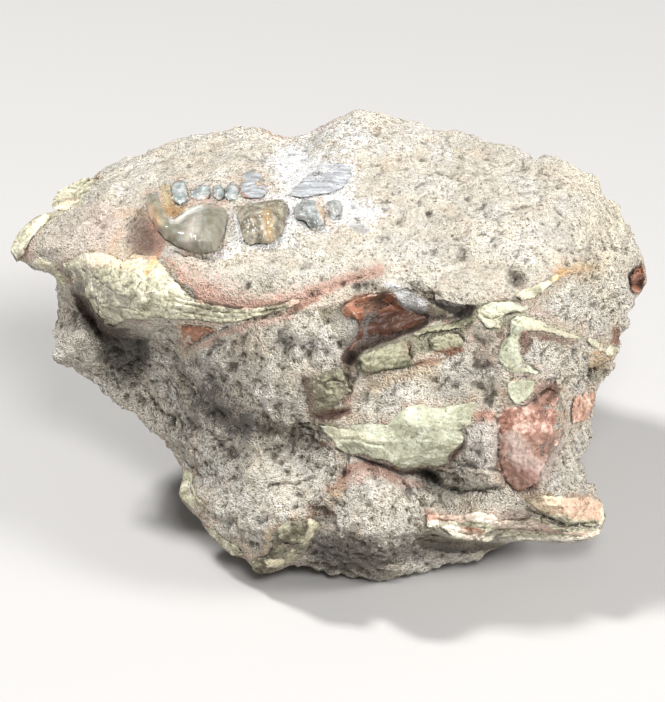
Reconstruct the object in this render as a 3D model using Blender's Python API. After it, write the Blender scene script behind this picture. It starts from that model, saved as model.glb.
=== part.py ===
"""Fossil squirrel skull, crushed and still held in its block of pale siltstone, lying palate up.

The block is drawn face-on, as it is seen from in front and a little above. A place on that drawing
is (across, up), and its depth is measured towards the viewer, all in tenths of a millimetre.
The bones and teeth are separate solids, each let into its own socket in the siltstone.
"""

import math

import bmesh
import bpy
import numpy as np
from mathutils import Vector, noise
from mathutils.geometry import delaunay_2d_cdt

# Driving dimensions
BLOCK_WIDTH = 0.0422  # across the block, from the snout tip to the back of the cheek
DRAWN_WIDTH = 422  # the same width on the drawing
TENTH = BLOCK_WIDTH / DRAWN_WIDTH  # one unit of the drawing, 0.1 mm
FACE_TILT = math.radians(30)  # how far the drawn face looks up
EYE_DISTANCE = 3000  # the drawing is in perspective, seen from this far
FLOOR_LEVEL = -137.0  # height of the small flat spot that the block rests on
SOCKET_GAP = 1.6  # clearance round each bone in its socket

# How round the block's edge is, on the drawn face and behind it
FRONT_EDGE_ROUND = 12
BACK_EDGE_ROUND = 16
EDGE_ROUND_WIDTH = 30
EDGE_SETTLING = 12  # how far in from the edge both faces still run together
EDGE_RING = 3  # a ring of points this far in from the edge
RIM_TOLERANCE = 0.01
FAR_OFF = 1e9  # farther than anything on the drawing

# Unit vectors of the drawing, in the block's own frame: +Z up, the drawn face towards -Y
ACROSS = np.array((1.0, 0.0, 0.0))
UP = np.array((0.0, math.sin(FACE_TILT), math.cos(FACE_TILT)))
OUT = np.array((0.0, -math.cos(FACE_TILT), math.sin(FACE_TILT)))

# The block's outline, clockwise from the snout: across, up, depth of the edge
OUTLINE = [
    (-214, 69, -5), (-207, 81, -10), (-198, 88, -15), (-188, 93, -20), (-175, 102, -22),
    (-162, 117, -25), (-151, 125, -30), (-141, 129, -35), (-129, 132, -40), (-118, 138, -45),
    (-106, 143, -50), (-97, 145, -55), (-87, 146, -55), (-74, 149, -60), (-63, 150, -60),
    (-46, 150, -65), (-42, 147, -60), (-32, 142, -55), (-28, 143, -55), (-16, 147, -60),
    (-6, 152, -65), (6, 158, -70), (16, 162, -75), (28, 161, -75), (40, 157, -75), (56, 154, -70),
    (62, 151, -70), (72, 147, -65), (87, 145, -65), (102, 143, -60), (113, 140, -60), (121, 135, -55),
    (129, 131, -50), (143, 130, -50), (157, 126, -45), (166, 121, -40), (176, 113, -35),
    (182, 105, -30), (190, 95, -30), (195, 85, -25), (202, 79, -25), (206, 71, -20), (208, 59, -20),
    (207, 47, -15), (202, 34, -15), (200, 27, -15), (196, 23, -15), (194, 14, -10), (192, 6, -5),
    (188, -3, -5), (186, -17, -10), (176, -28, -10), (174, -39, -10), (173, -47, -10), (169, -61, -15),
    (169, -71, -15), (172, -77, -10), (174, -89, -5), (178, -97, 0), (180, -110, 5), (178, -121, 10),
    (168, -125, 10), (153, -126, 10), (137, -125, 5), (116, -127, 0), (115, -131, -5),
    (106, -134, -10), (96, -141, -10), (86, -143, -10), (70, -145, -10), (57, -150, -10),
    (44, -154, -10), (30, -155, -10), (14, -153, -10), (-2, -149, -5), (-18, -145, 0), (-28, -143, 5),
    (-40, -147, 10), (-48, -147, 10), (-56, -143, 10), (-60, -138, 5), (-70, -132, 0), (-77, -125, 0),
    (-84, -119, -5), (-86, -113, -5), (-92, -107, -5), (-99, -99, -10), (-100, -93, -10),
    (-98, -87, -15), (-102, -77, -20), (-106, -70, -25), (-113, -61, -30), (-120, -53, -30),
    (-130, -45, -30), (-141, -39, -35), (-145, -34, -35), (-152, -29, -35), (-158, -21, -35),
    (-165, -16, -35), (-168, -14, -30), (-180, -11, -25), (-188, -11, -20), (-190, -3, -20),
    (-188, 0, -20), (-189, 5, -20), (-192, 11, -25), (-192, 16, -25), (-186, 20, -25), (-182, 27, -25),
    (-184, 32, -20), (-184, 36, -10), (-183, 46, 0), (-188, 52, 5), (-198, 55, 5), (-203, 56, 0),
    (-211, 61, -5),
]

# Landmarks of the drawn face: across, up, depth
FRONT = {
    "snout_top": (-182, 77, 15), "snout_flank": (-142, 101, 8), "tooth_row_front": (-122, 67, 50),
    "tooth_row": (-88, 79, 44), "far_palate": (-55, 115, 2), "molar_palate": (-18, 101, 22),
    "molar_flank": (-22, 67, 54), "cheek_edge": (-62, 41, 68), "crest_front": (12, 134, -28),
    "mid_palate": (22, 87, 30), "ledge_left": (25, 55, 60), "far_crown": (72, 114, -8),
    "mid_crown": (78, 74, 44), "ledge_middle": (78, 39, 76), "right_crown": (125, 101, 12),
    "ledge_right": (138, 54, 60), "right_shoulder": (178, 81, 6), "right_cheek": (178, 41, 34),
    "temple_corner": (152, 19, 60), "temple": (112, 14, 74), "cheek_lip": (-160, 42, 36),
    "cheek_fold": (-147, 22, 42), "cheek_middle": (-102, 34, 64), "under_cheek": (-112, 9, 36),
    "left_knob": (-178, 7, -5), "recess": (-142, -11, -8), "recess_right": (-112, -23, 2),
    "flank_upper": (-85, -6, 36), "flank_front": (-47, 7, 56), "flank_top": (-18, 17, 62),
    "flank_middle": (-65, -46, 22), "flank_edge": (-98, -59, 0), "flank_low": (-32, -46, 38),
    "keel_left": (-68, -86, 16), "keel": (-54, -113, 34), "keel_top": (-22, -86, 42),
    "plate_root": (-10, -63, 34), "jaw_angle": (-28, -129, 36), "inner_jaw": (-2, -29, 56),
    "arch_low": (35, -27, 66), "arch_right": (75, -23, 70), "arch": (26, -6, 72),
    "arch_top": (62, 4, 72), "plate": (62, -54, 74), "plate_left": (18, -58, 64),
    "lobe_top": (25, -87, 62), "lobe": (26, -103, 70), "lobe_right": (48, -119, 58),
    "lobe_left": (5, -126, 40), "lobe_foot": (32, -143, 22), "behind_lobe": (65, -85, 38),
    "mid_right": (98, -29, 66), "temple_low": (132, -3, 66), "temple_back": (165, -9, 30),
    "skull_patch": (132, -53, 56), "patch_low": (128, -85, 42), "right_wall": (162, -53, 14),
    "right_low": (165, -86, 16), "shelf_back": (86, -94, 34), "shelf_lip": (98, -109, 48),
    "shelf_right": (142, -103, 48), "shelf_end": (162, -113, 34), "under_shelf": (86, -134, 18),
}

# Landmarks of the far side, where the skull roof and the other cheek are buried
BACK = {
    "snout": (-180, 65, -30), "knob": (-170, 12, -55), "snout_side": (-130, 92, -88),
    "snout_under": (-128, 18, -92), "nose_roof": (-82, 112, -112), "cheek": (-82, 32, -132),
    "lower_cheek": (-80, -52, -102), "keel_side": (-42, -100, -100), "keel": (-58, -120, -58),
    "crest": (-2, 122, -118), "roof": (-6, 42, -140), "wall": (0, -30, -158),
    "foot_back": (0, -82, -152), "foot": (0, -110, -108), "foot_front": (2, -136, -58),
    "far_crest": (62, 120, -128), "far_roof": (70, 42, -152), "far_wall": (72, -32, -156),
    "far_foot_back": (70, -82, -148), "far_foot": (66, -110, -104), "far_foot_front": (62, -134, -58),
    "shoulder": (130, 92, -108), "ear": (138, 22, -126), "neck": (142, -48, -104),
    "shelf": (142, -102, -64), "right_edge": (186, 42, -72), "low_right": (165, -88, -46),
}

# Hollows in the drawn face: outline, depth, width of the slope round it
HOLLOWS = {
    "orbit": ([(9, -7), (13, 4), (20, 17), (22, 31), (35, 37), (48, 41), (62, 39), (75, 33), (87, 30),
               (96, 30), (93, 25), (82, 21), (65, 17), (48, 11), (35, 6), (20, 1)], 26, 7),
    "left_recess": ([(-182, 33), (-172, 37), (-163, 30), (-156, 19), (-147, 13), (-125, 11),
                     (-107, 1), (-98, -19), (-103, -45), (-122, -49), (-142, -35), (-156, -19),
                     (-155, -1), (-167, 7), (-179, 19)], 22, 10),
    "plate_crevice": ([(-20, -51), (-10, -54), (0, -67), (17, -71), (38, -78), (62, -79), (76, -79),
                       (89, -90), (75, -93), (61, -87), (45, -89), (32, -78), (15, -74), (-2, -77),
                       (-16, -67)], 26, 6),
    "lost_tooth_pit": ([(-140, 79), (-134, 90), (-125, 95), (-120, 83), (-115, 73), (-120, 65),
                        (-130, 62), (-139, 67)], 8, 5),
    "shelf_overhang": ([(62, -125), (80, -128), (100, -128), (116, -128), (130, -134), (100, -152),
                        (66, -148)], 12, 6),
    "lobe_groove": ([(-6, -104), (-13, -118), (-20, -132), (-26, -143), (-17, -141), (-9, -128),
                     (-2, -116), (1, -106)], 10, 6),
    "keel_groove": ([(-84, -62), (-70, -70), (-54, -76), (-40, -74), (-22, -66), (-22, -60),
                     (-40, -66), (-56, -67), (-72, -60), (-86, -52)], 9, 8),
    "temple_step": ([(96, -12), (108, -16), (112, -30), (108, -44), (100, -34), (92, -22)], 8, 5),
}

# Round pits in the drawn face: across, up, radius
PITS = [
    (124, 49, 6.5), (143, 117, 4.5), (139, 101, 4), (86, 127, 4), (30, 146, 5), (64, 94, 4.5),
    (99, 77, 4.5), (38, 98, 4), (-94, -51, 8), (-92, -79, 7), (-50, -70, 5), (200, 48, 6),
]


# Bones and teeth: outline, then how far the piece stands proud, how deep its root goes,
# how much its middle swells, how wide its rounded rim is, and how far apart its own points are
BONES = {
    "cheek_bone": ([(-180, 58), (-166, 65), (-156, 66), (-147, 63), (-140, 60), (-133, 65),
                    (-124, 64), (-117, 63), (-110, 53), (-102, 43), (-94, 36), (-81, 31), (-62, 28),
                    (-42, 30), (-22, 35), (-21, 32), (-32, 27), (-48, 22), (-65, 20), (-82, 19),
                    (-92, 21), (-101, 21), (-114, 23), (-128, 22), (-140, 20), (-147, 16),
                    (-154, 19), (-158, 25), (-162, 31), (-166, 36), (-174, 39), (-175, 47),
                    (-179, 53)], 2, 8, 2, 6, 10),
    "snout_bone": ([(-215, 67), (-208, 80), (-199, 88), (-191, 92), (-188, 90), (-191, 85),
                    (-199, 77), (-204, 69), (-206, 63), (-211, 60)], 2, 8, 1, 5, 9),
    "cheek_scrap": ([(-102, 17), (-91, 17), (-83, 16), (-78, 13), (-86, 9), (-94, 5), (-98, 0),
                     (-101, 7)], 1, 7, 1, 5, 9),
    "orbit_bone": ([(9, 32), (24, 37), (38, 39), (44, 34), (46, 30), (53, 27), (62, 23), (64, 20),
                    (54, 16), (42, 12), (30, 9), (20, 4), (13, -1), (10, 0), (14, 6), (18, 15),
                    (17, 21), (8, 23), (6, 28)], 2, 8, 1, 5, 8),
    "arch_bone": ([(17, -6), (21, -2), (32, 3), (40, 5), (48, 7), (50, 3), (52, -3), (54, -9),
                   (45, -12), (34, -13), (25, -15), (18, -13)], 2, 8, 2, 5, 9),
    "arch_tile": ([(66, 9), (75, 11), (84, 12), (88, 7), (86, 3), (77, 0), (68, 0)], 2, 8, 1, 4, 8),
    "arch_strip": ([(53, 12), (63, 16), (74, 18), (87, 21), (93, 23), (94, 20), (86, 16), (76, 14),
                    (65, 13), (56, 10)], 2, 8, 1, 4, 7),
    "temple_bone": ([(96, 28), (104, 32), (120, 33), (124, 30), (132, 31), (131, 28), (122, 26),
                     (115, 24), (108, 21), (114, 19), (112, 14), (103, 15), (100, 20), (97, 23)],
                    3, 8, 1, 4, 7),
    "temple_splint": ([(122, 37), (126, 40), (138, 45), (150, 52), (152, 49), (142, 41), (134, 35),
                       (127, 33)], 2, 7, 1, 4, 7),
    "temple_hook": ([(118, 21), (123, 23), (132, 23), (139, 20), (146, 16), (156, 13), (166, 9),
                     (165, 7), (157, 8), (148, 11), (140, 13), (132, 14), (127, 11), (124, 7),
                     (125, -1), (129, -7), (138, -14), (135, -16), (130, -15), (120, -15), (114, -11),
                     (110, -5), (111, 1), (113, 6), (118, 11)], 2, 8, 1, 4, 8),
    "temple_scale": ([(117, -21), (121, -19), (130, -19), (135, -21), (135, -27), (131, -32),
                      (122, -35), (118, -31), (116, -26)], 3, 8, 1, 4, 8),
    "temple_bar": ([(170, 9), (176, 7), (184, 5), (190, 3), (191, 0), (185, -3), (178, 0), (172, 4)],
                   3, 8, 1, 4, 8),
    "inner_jaw_bone": ([(-14, -17), (-6, -15), (4, -11), (10, -16), (11, -22), (14, -26), (9, -31),
                        (3, -35), (0, -40), (-6, -41), (-13, -40), (-12, -29), (-14, -23)],
                       1, 8, 2, 5, 9),
    "palate_plate": ([(-10, -49), (-2, -50), (9, -53), (13, -49), (22, -48), (37, -49), (42, -44),
                      (48, -38), (59, -35), (70, -38), (83, -36), (96, -33), (96, -35), (92, -43),
                      (92, -48), (84, -53), (87, -60), (82, -65), (78, -70), (74, -77), (61, -77),
                      (41, -77), (38, -73), (29, -72), (18, -69), (9, -68), (3, -65), (-1, -59)],
                     5, 9, 2, 5, 12),
    "skull_bone": ([(109, -44), (116, -38), (129, -36), (145, -24), (151, -28), (157, -43),
                    (154, -57), (146, -69), (139, -79), (137, -89), (122, -94), (116, -87),
                    (110, -77)], 1, 9, 4, 12, 12),
    "side_bone": ([(161, -31), (168, -27), (175, -28), (174, -38), (171, -46), (160, -48),
                   (159, -42)], 2, 8, 1, 5, 9),
    "shelf_bone": ([(62, -109), (75, -108), (86, -110), (94, -107), (105, -108), (113, -113),
                    (126, -113), (134, -110), (144, -114), (157, -119), (179, -118), (178, -122),
                    (167, -126), (153, -127), (137, -126), (120, -126), (110, -126), (92, -126),
                    (82, -124), (73, -119), (64, -117)], 6, 8, 2, 5, 10),
    "shelf_block": ([(128, -99), (140, -96), (152, -97), (163, -97), (177, -98), (180, -103),
                     (182, -112), (179, -116), (157, -117), (145, -112), (136, -106)],
                    3, 8, 2, 5, 10),
    "jaw_angle_bone": ([(-38, -119), (-32, -114), (-22, -113), (-14, -111), (-9, -115), (-12, -123),
                        (-18, -131), (-24, -137), (-30, -141), (-37, -146), (-46, -148), (-52, -146),
                        (-54, -142), (-51, -139), (-44, -137), (-40, -131), (-39, -124)],
                       3, 8, 2, 6, 10),
    "rim_bone_upper": ([(-99, -79), (-93, -81), (-93, -89), (-90, -97), (-84, -103), (-87, -111),
                        (-93, -107), (-100, -99), (-102, -93), (-99, -87)], 2, 9, 1, 5, 9),
    "rim_bone_lower": ([(-86, -117), (-80, -117), (-77, -122), (-71, -126), (-63, -131), (-59, -136),
                        (-67, -136), (-75, -129), (-80, -124)], 2, 9, 1, 5, 8),
    "edge_bone": ([(198, 50), (202, 56), (208, 58), (209, 47), (206, 40), (202, 37), (199, 41)],
                  0, 9, 1, 4, 8),
    "splinter_round": ([(-60, 103), (-62, 111), (-60, 117), (-54, 121), (-48, 119), (-45, 113),
                        (-43, 106), (-47, 102), (-54, 102)], 1, 7, 3, 9, 7),
    "splinter_leaf": ([(-30, 104), (-23, 111), (-16, 117), (-8, 124), (2, 125), (12, 123), (12, 117),
                       (8, 110), (1, 106), (-10, 104), (-20, 102)], 1, 7, 3, 9, 8),
}
TEETH = {
    "front_tooth": ([(-123, 105), (-124, 98), (-122, 89), (-118, 83), (-112, 75), (-104, 70),
                     (-94, 66), (-87, 65), (-79, 66), (-75, 70), (-72, 80), (-70, 91), (-73, 96),
                     (-80, 98), (-88, 98), (-95, 96), (-100, 92), (-106, 88), (-109, 88), (-111, 93),
                     (-114, 98), (-116, 102), (-117, 105)], 4, 9, 12, 13, 6),
    "second_tooth": ([(-63, 96), (-64, 89), (-62, 83), (-60, 75), (-56, 70), (-51, 72), (-43, 71),
                      (-36, 75), (-32, 83), (-30, 91), (-29, 97), (-33, 101), (-40, 101), (-46, 100),
                      (-49, 99), (-56, 99)], 2, 9, 9, 12, 6),
    "third_tooth": ([(-26, 94), (-23, 98), (-19, 101), (-12, 101), (-8, 97), (-5, 91), (-6, 85),
                     (-10, 83), (-14, 81), (-16, 83), (-19, 87), (-24, 88), (-26, 90)],
                    2, 8, 5, 7, 5),
    "back_tooth": ([(-3, 100), (2, 101), (5, 100), (6, 95), (5, 91), (2, 89), (0, 87), (-2, 90),
                    (-3, 95)], 2, 8, 4, 5, 4),
    "tooth_blade": ([(-107, 108), (-103, 113), (-100, 113), (-98, 107), (-97, 102), (-98, 100),
                     (-102, 98), (-105, 100), (-106, 103)], 5, 8, 3, 4, 5),
    "cusp_left": ([(-94, 106), (-91, 109), (-87, 111), (-83, 109), (-82, 105), (-84, 102), (-90, 101),
                   (-94, 103)], 2, 7, 4, 5, 4),
    "cusp_middle": ([(-79, 109), (-76, 110), (-73, 107), (-73, 103), (-76, 101), (-79, 103)],
                    2, 7, 4, 4, 4),
    "cusp_right": ([(-70, 101), (-70, 107), (-67, 113), (-65, 111), (-64, 106), (-66, 101)],
                   2, 7, 4, 4, 4),
}

# Bones of the far side, in the same form, on the drawing as if seen through the block
FAR_BONES = {
    "crest_bone": ([(-50, 146), (-40, 143), (-28, 139), (-12, 143), (8, 154), (20, 152), (22, 138),
                    (4, 126), (-18, 122), (-40, 126), (-54, 136)], 2, 8, 2, 6, 14),
    "roof_bone": ([(-70, 92), (-52, 104), (-20, 98), (14, 104), (46, 92), (58, 66), (40, 44),
                   (8, 50), (-24, 42), (-52, 54), (-74, 72)], 2, 8, 3, 8, 18),
    "far_cheek_bone": ([(-152, 58), (-136, 72), (-112, 74), (-96, 58), (-98, 40), (-118, 30),
                        (-140, 34)], 2, 8, 2, 6, 14),
    "ear_bone": ([(106, 40), (124, 52), (146, 46), (154, 24), (146, 2), (124, -6), (106, 8),
                  (98, 24)], 1, 9, 6, 16, 14),
    "neck_bone": ([(96, -38), (120, -30), (146, -40), (152, -62), (130, -72), (104, -62)],
                  2, 8, 2, 6, 14),
}

# A thin flake of the far snout that reaches past the block's edge: its outline, and its nearest
# and farthest depth
SNOUT_FLAKE = [(-187, 98), (-183, 107), (-172, 113), (-163, 116), (-155, 114), (-148, 106),
               (-156, 98), (-168, 93), (-179, 92), (-185, 94)]
FLAKE_DEPTHS = (-17, -25)
FLAKE_SPACING = 12

# Roughness of the rock: size and height of its lumps
LUMPS = ((45, 5.0), (18, 2.2))
NEAR_LUMPS = 7.5  # which slice of the noise each face of the block is cut from
FAR_LUMPS = 40.5
NEAR_SPACING = 12  # how far apart the points of the block's near face are
FAR_SPACING = 22
GRID_MARGIN = 0.45  # how near a rim or crease the grid's points come, as a share of their spacing
CREASE_MARGIN = 2
RING_MARGIN = 0.7  # how near the outline a ring's points may come, as a share of its distance
SHARPEST_TURN = 0.6  # the least share of a straight corner that a grown corner is spread over
WELD = 1e-4  # points of a face nearer than this are one point
SHEET_UNIT = 100  # the sheets are solved in centimetre steps, which keeps their numbers small
NO_DISTANCE = 1e-9


def sheet_through(landmarks):
    """The smooth sheet through the outline and these landmarks, as a function of (across, up)."""
    points = np.array(OUTLINE + list(landmarks.values()), float)
    places, depths = points[:, :2] / SHEET_UNIT, points[:, 2]

    def bend(first, second):
        square = ((first[:, None] - second[None]) ** 2).sum(2)
        return square * np.log(square + NO_DISTANCE)

    count = len(places)
    flat = np.column_stack([np.ones(count), places])
    system = np.block([[bend(places, places), flat], [flat.T, np.zeros((3, 3))]])
    weights = np.linalg.solve(system, np.concatenate([depths, np.zeros(3)]))

    def depth_at(spots):
        spots = spots / SHEET_UNIT
        return (
            bend(spots, places) @ weights[:count]
            + np.column_stack([np.ones(len(spots)), spots]) @ weights[count:]
        )

    return depth_at


FRONT_SHEET = sheet_through(FRONT)
BACK_SHEET = sheet_through(BACK)


def to_outline(spots, corners):
    """Distance of each spot to a closed outline, positive inside it, and where it comes nearest."""
    corners = np.array(corners, float)
    nearest = np.full(len(spots), FAR_OFF)
    place = np.zeros((len(spots), corners.shape[1]))
    inside = np.zeros(len(spots), bool)
    for start, end in zip(corners, np.roll(corners, -1, 0)):
        run = end[:2] - start[:2]
        along = np.clip(((spots - start[:2]) @ run) / (run @ run), 0, 1)[:, None]
        away = np.hypot(*(spots - start[:2] - along * run).T)
        closer = away < nearest
        nearest = np.where(closer, away, nearest)
        place = np.where(closer[:, None], start + along * (end - start), place)
        crosses = (start[1] > spots[:, 1]) != (end[1] > spots[:, 1])
        at = start[0] + (spots[:, 1] - start[1]) * run[0] / (run[1] if run[1] else 1.0)
        inside ^= crosses & (spots[:, 0] < at)
    return np.where(inside, nearest, -nearest), place


def inside_distance(spots, corners):
    return to_outline(spots, corners)[0]


def lumps(spots, layer):
    """Rocky unevenness of one side of the block."""
    height = np.zeros(len(spots))
    for size, tall in LUMPS:
        height += [tall * noise.noise(Vector((x / size, y / size, layer))) for x, y in spots]
    return height


def rock_depth(spots, behind=False):
    """Depth of the block's surface at these places of the drawing."""
    distance, place = to_outline(spots, OUTLINE)
    edge = place[:, 2]
    swell = np.sqrt(1 - (1 - np.clip(distance / EDGE_ROUND_WIDTH, 0, 1)) ** 2)
    settled = np.clip(distance / EDGE_SETTLING, 0, 1)
    if behind:
        sheet = edge + (BACK_SHEET(spots) - edge) * settled
        return sheet - (BACK_EDGE_ROUND + lumps(spots, FAR_LUMPS)) * swell
    sheet = edge + (FRONT_SHEET(spots) - edge) * settled
    depth = sheet + (FRONT_EDGE_ROUND + lumps(spots, NEAR_LUMPS)) * swell
    for outline, deep, slope in HOLLOWS.values():
        inside = np.clip(inside_distance(spots, outline) / slope + 0.5, 0, 1)
        depth -= deep * inside * settled
    return np.where(distance < RIM_TOLERANCE, edge, depth)


def in_space(spots, depth):
    """World points, in metres, of places on the drawing at these depths."""
    nearer = (1 - depth / EYE_DISTANCE)[:, None]
    flat = spots[:, :1] * ACROSS + spots[:, 1:] * UP
    return (flat * nearer + depth[:, None] * OUT - (0, 0, FLOOR_LEVEL)) * TENTH


def points_of(mesh):
    flat = np.empty(len(mesh.vertices) * 3)
    mesh.vertices.foreach_get("co", flat)
    return flat.reshape(-1, 3)


def evaluated_mesh(obj):
    graph = bpy.context.evaluated_depsgraph_get()
    return bpy.data.meshes.new_from_object(obj.evaluated_get(graph))


def material(name, colour, roughness):
    made = bpy.data.materials.new(name)
    made.use_nodes = True
    shader = made.node_tree.nodes["Principled BSDF"]
    shader.inputs["Base Color"].default_value = (*colour, 1.0)
    shader.inputs["Roughness"].default_value = roughness
    return made


def make_block(collection):
    """The siltstone: a near face and a far face, joined along the outline."""
    corners, faces = [], []
    sides = ((NEAR_SPACING, hollow_creases(), False), (FAR_SPACING, None, True))
    for spacing, creases, behind in sides:
        spots, triangles = filled(OUTLINE, spacing, EDGE_RING, creases)
        start = len(corners)
        corners += [tuple(point) for point in in_space(spots, rock_depth(spots, behind))]
        order = -1 if behind else 1
        faces += [tuple(start + i for i in face[::order]) for face in triangles]
    mesh = bpy.data.meshes.new("matrix")
    mesh.from_pydata(corners, [], faces)
    shell = bmesh.new()
    shell.from_mesh(mesh)
    bmesh.ops.remove_doubles(shell, verts=shell.verts, dist=RIM_TOLERANCE * TENTH)
    shell.to_mesh(mesh)
    shell.free()
    block = bpy.data.objects.new("matrix", mesh)
    collection.objects.link(block)
    return block


def move_to(obj, collection):
    for old in obj.users_collection:
        old.objects.unlink(obj)
    collection.objects.link(obj)


def grown(outline, gap):
    """The outline, anticlockwise and moved outwards by the gap."""
    corners = np.array(outline, float)[:, :2]
    following = np.roll(corners, -1, 0)
    turning = (corners[:, 0] * following[:, 1] - corners[:, 1] * following[:, 0]).sum()
    if turning < 0:
        corners = corners[::-1]
    run = np.roll(corners, -1, 0) - corners
    outward = np.column_stack([run[:, 1], -run[:, 0]]) / np.hypot(*run.T)[:, None]
    before = np.roll(outward, 1, 0)
    facing = np.maximum(1 + (outward * before).sum(1), SHARPEST_TURN)
    return corners + gap * (outward + before) / facing[:, None]


def filled(outline, spacing, ring=0.0, creases=None):
    """Triangles that fill an outline, over a loose grid of points and the points of its creases."""
    rim = grown(outline, 0)
    low, high = rim.min(0), rim.max(0)
    row_height = spacing * math.sqrt(3) / 2
    rows = np.arange(low[1] + spacing / 2, high[1], row_height)
    grid = [
        (across, up)
        for row, up in enumerate(rows)
        for across in np.arange(low[0] + spacing * (row % 2) / 2, high[0], spacing)
    ]
    inner = np.array(grid).reshape(-1, 2)
    inner = inner[inside_distance(inner, outline) > ring + GRID_MARGIN * spacing]
    if creases is not None:
        creases = creases[inside_distance(creases, outline) > ring + CREASE_MARGIN]
        away = np.hypot(*(inner[:, None] - creases[None]).transpose(2, 0, 1)).min(1)
        inner = np.concatenate([inner[away > GRID_MARGIN * spacing], creases])
    if ring:
        loop = grown(outline, -ring)
        inner = np.concatenate([inner, loop[inside_distance(loop, outline) > RING_MARGIN * ring]])
    spots = [Vector(spot) for spot in np.concatenate([rim, inner])]
    border = list(range(len(rim)))
    result = delaunay_2d_cdt(spots, [], [border], 1, WELD)
    return np.array([tuple(spot) for spot in result[0]]), [tuple(face) for face in result[2]]


def hollow_creases():
    """Points along the brink and along the foot of each hollow's slope."""
    loops = []
    for outline, _, slope in HOLLOWS.values():
        loops += [grown(outline, slope / 2), grown(outline, -slope / 2)]
    return np.concatenate(loops)


def slab(name, spots, triangles, near, far, collection):
    """A solid between two depths over the same triangles, closed by walls round its border."""
    count = len(spots)
    points = np.concatenate([in_space(spots, near), in_space(spots, far)])
    edges = {(a, b) for face in triangles for a, b in zip(face, face[1:] + face[:1])}
    faces = list(triangles) + [tuple(count + i for i in reversed(face)) for face in triangles]
    for a, b in sorted(edges):
        if (b, a) not in edges:
            faces += [(a, count + b, b), (a, count + a, count + b)]
    mesh = bpy.data.meshes.new(name)
    mesh.from_pydata([tuple(point) for point in points], [], faces)
    made = bpy.data.objects.new(name, mesh)
    collection.objects.link(made)
    return made


def let_in(name, sizes, collection, behind=False):
    """A bone or tooth that follows the rock's surface, with its root let into it."""
    outline, proud, root, swell, rim, spacing = sizes
    spots, triangles = filled(outline, spacing)
    surface = rock_depth(spots, behind)
    rim_share = np.clip(inside_distance(spots, outline) / rim, 0, 1)
    crown = proud + swell * (1 - (1 - rim_share) ** 2)
    near, far = (root, -crown) if behind else (crown, -root)
    return slab(name, spots, triangles, surface + near, surface + far, collection)


def make_flake(collection):
    """The snout flake: a flat sliver at a fixed depth, half of it inside the block."""
    spots, triangles = filled(SNOUT_FLAKE, FLAKE_SPACING)
    near, far = (np.full(len(spots), depth) for depth in FLAKE_DEPTHS)
    return slab("snout_flake", spots, triangles, near, far, collection)


def cut_away(block, cutter):
    cutter.hide_render = True
    cutter.display_type = "WIRE"
    cut = block.modifiers.new(cutter.name, "BOOLEAN")
    cut.operation = "DIFFERENCE"
    cut.object = cutter


def cut_socket(block, piece, cutters):
    """Take the piece's own shape, a hair larger, out of the block."""
    cutter = bpy.data.objects.new(piece.name + "_socket", piece.data.copy())
    cutters.objects.link(cutter)
    grow = cutter.modifiers.new("clearance", "DISPLACE")
    grow.strength = SOCKET_GAP * TENTH
    grow.mid_level = 0
    cut_away(block, cutter)


def cut_pits(block, cutters):
    """Round pits left by lost grains and roots, each half of a ball deep."""
    spots = np.array(PITS, float)[:, :2]
    places = in_space(spots, rock_depth(spots))
    for number, (place, (_, _, radius)) in enumerate(zip(places, PITS), 1):
        bpy.ops.mesh.primitive_ico_sphere_add(
            subdivisions=1, radius=radius * TENTH, location=tuple(place)
        )
        ball = bpy.context.object
        ball.name = f"pit_{number}"
        move_to(ball, cutters)
        cut_away(block, ball)


def cut_flat_spot(block, cutters):
    """The small flat spot below, where the block rests."""
    depth = 0.01
    bpy.ops.mesh.primitive_cube_add(size=1, location=(0, 0, -depth / 2))
    slab = bpy.context.object
    slab.name = "below_floor"
    slab.dimensions = (2 * BLOCK_WIDTH, 2 * BLOCK_WIDTH, depth)
    bpy.ops.object.transform_apply(location=False, scale=True)
    move_to(slab, cutters)
    cut_away(block, slab)


def drop_chips(block):
    """Keep the block's cut shape, without any chip left loose between two sockets."""
    shell = bmesh.new()
    shell.from_mesh(evaluated_mesh(block))
    unseen = set(shell.verts)
    bodies = []
    while unseen:
        body, front = set(), {unseen.pop()}
        while front:
            body |= front
            front = {edge.other_vert(corner) for corner in front for edge in corner.link_edges}
            front -= body
        unseen -= body
        bodies.append(body)
    bodies.sort(key=len)
    loose = [corner for body in bodies[:-1] for corner in body]
    bmesh.ops.delete(shell, geom=loose, context="VERTS")
    block.modifiers.clear()
    shell.to_mesh(block.data)
    shell.free()


def centre_on_origin(objects):
    """Stand the whole fossil on the origin, under the middle of its box."""
    bpy.context.view_layer.update()
    points = np.concatenate([points_of(evaluated_mesh(obj)) for obj in objects])
    low, high = points.min(0), points.max(0)
    middle = bpy.data.objects.new("fossil_middle", None)
    bpy.context.scene.collection.objects.link(middle)
    middle.location = (-(low[0] + high[0]) / 2, -(low[1] + high[1]) / 2, -low[2])
    print("drawing's own origin stands at", [round(v, 5) for v in middle.location])
    return middle


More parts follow.
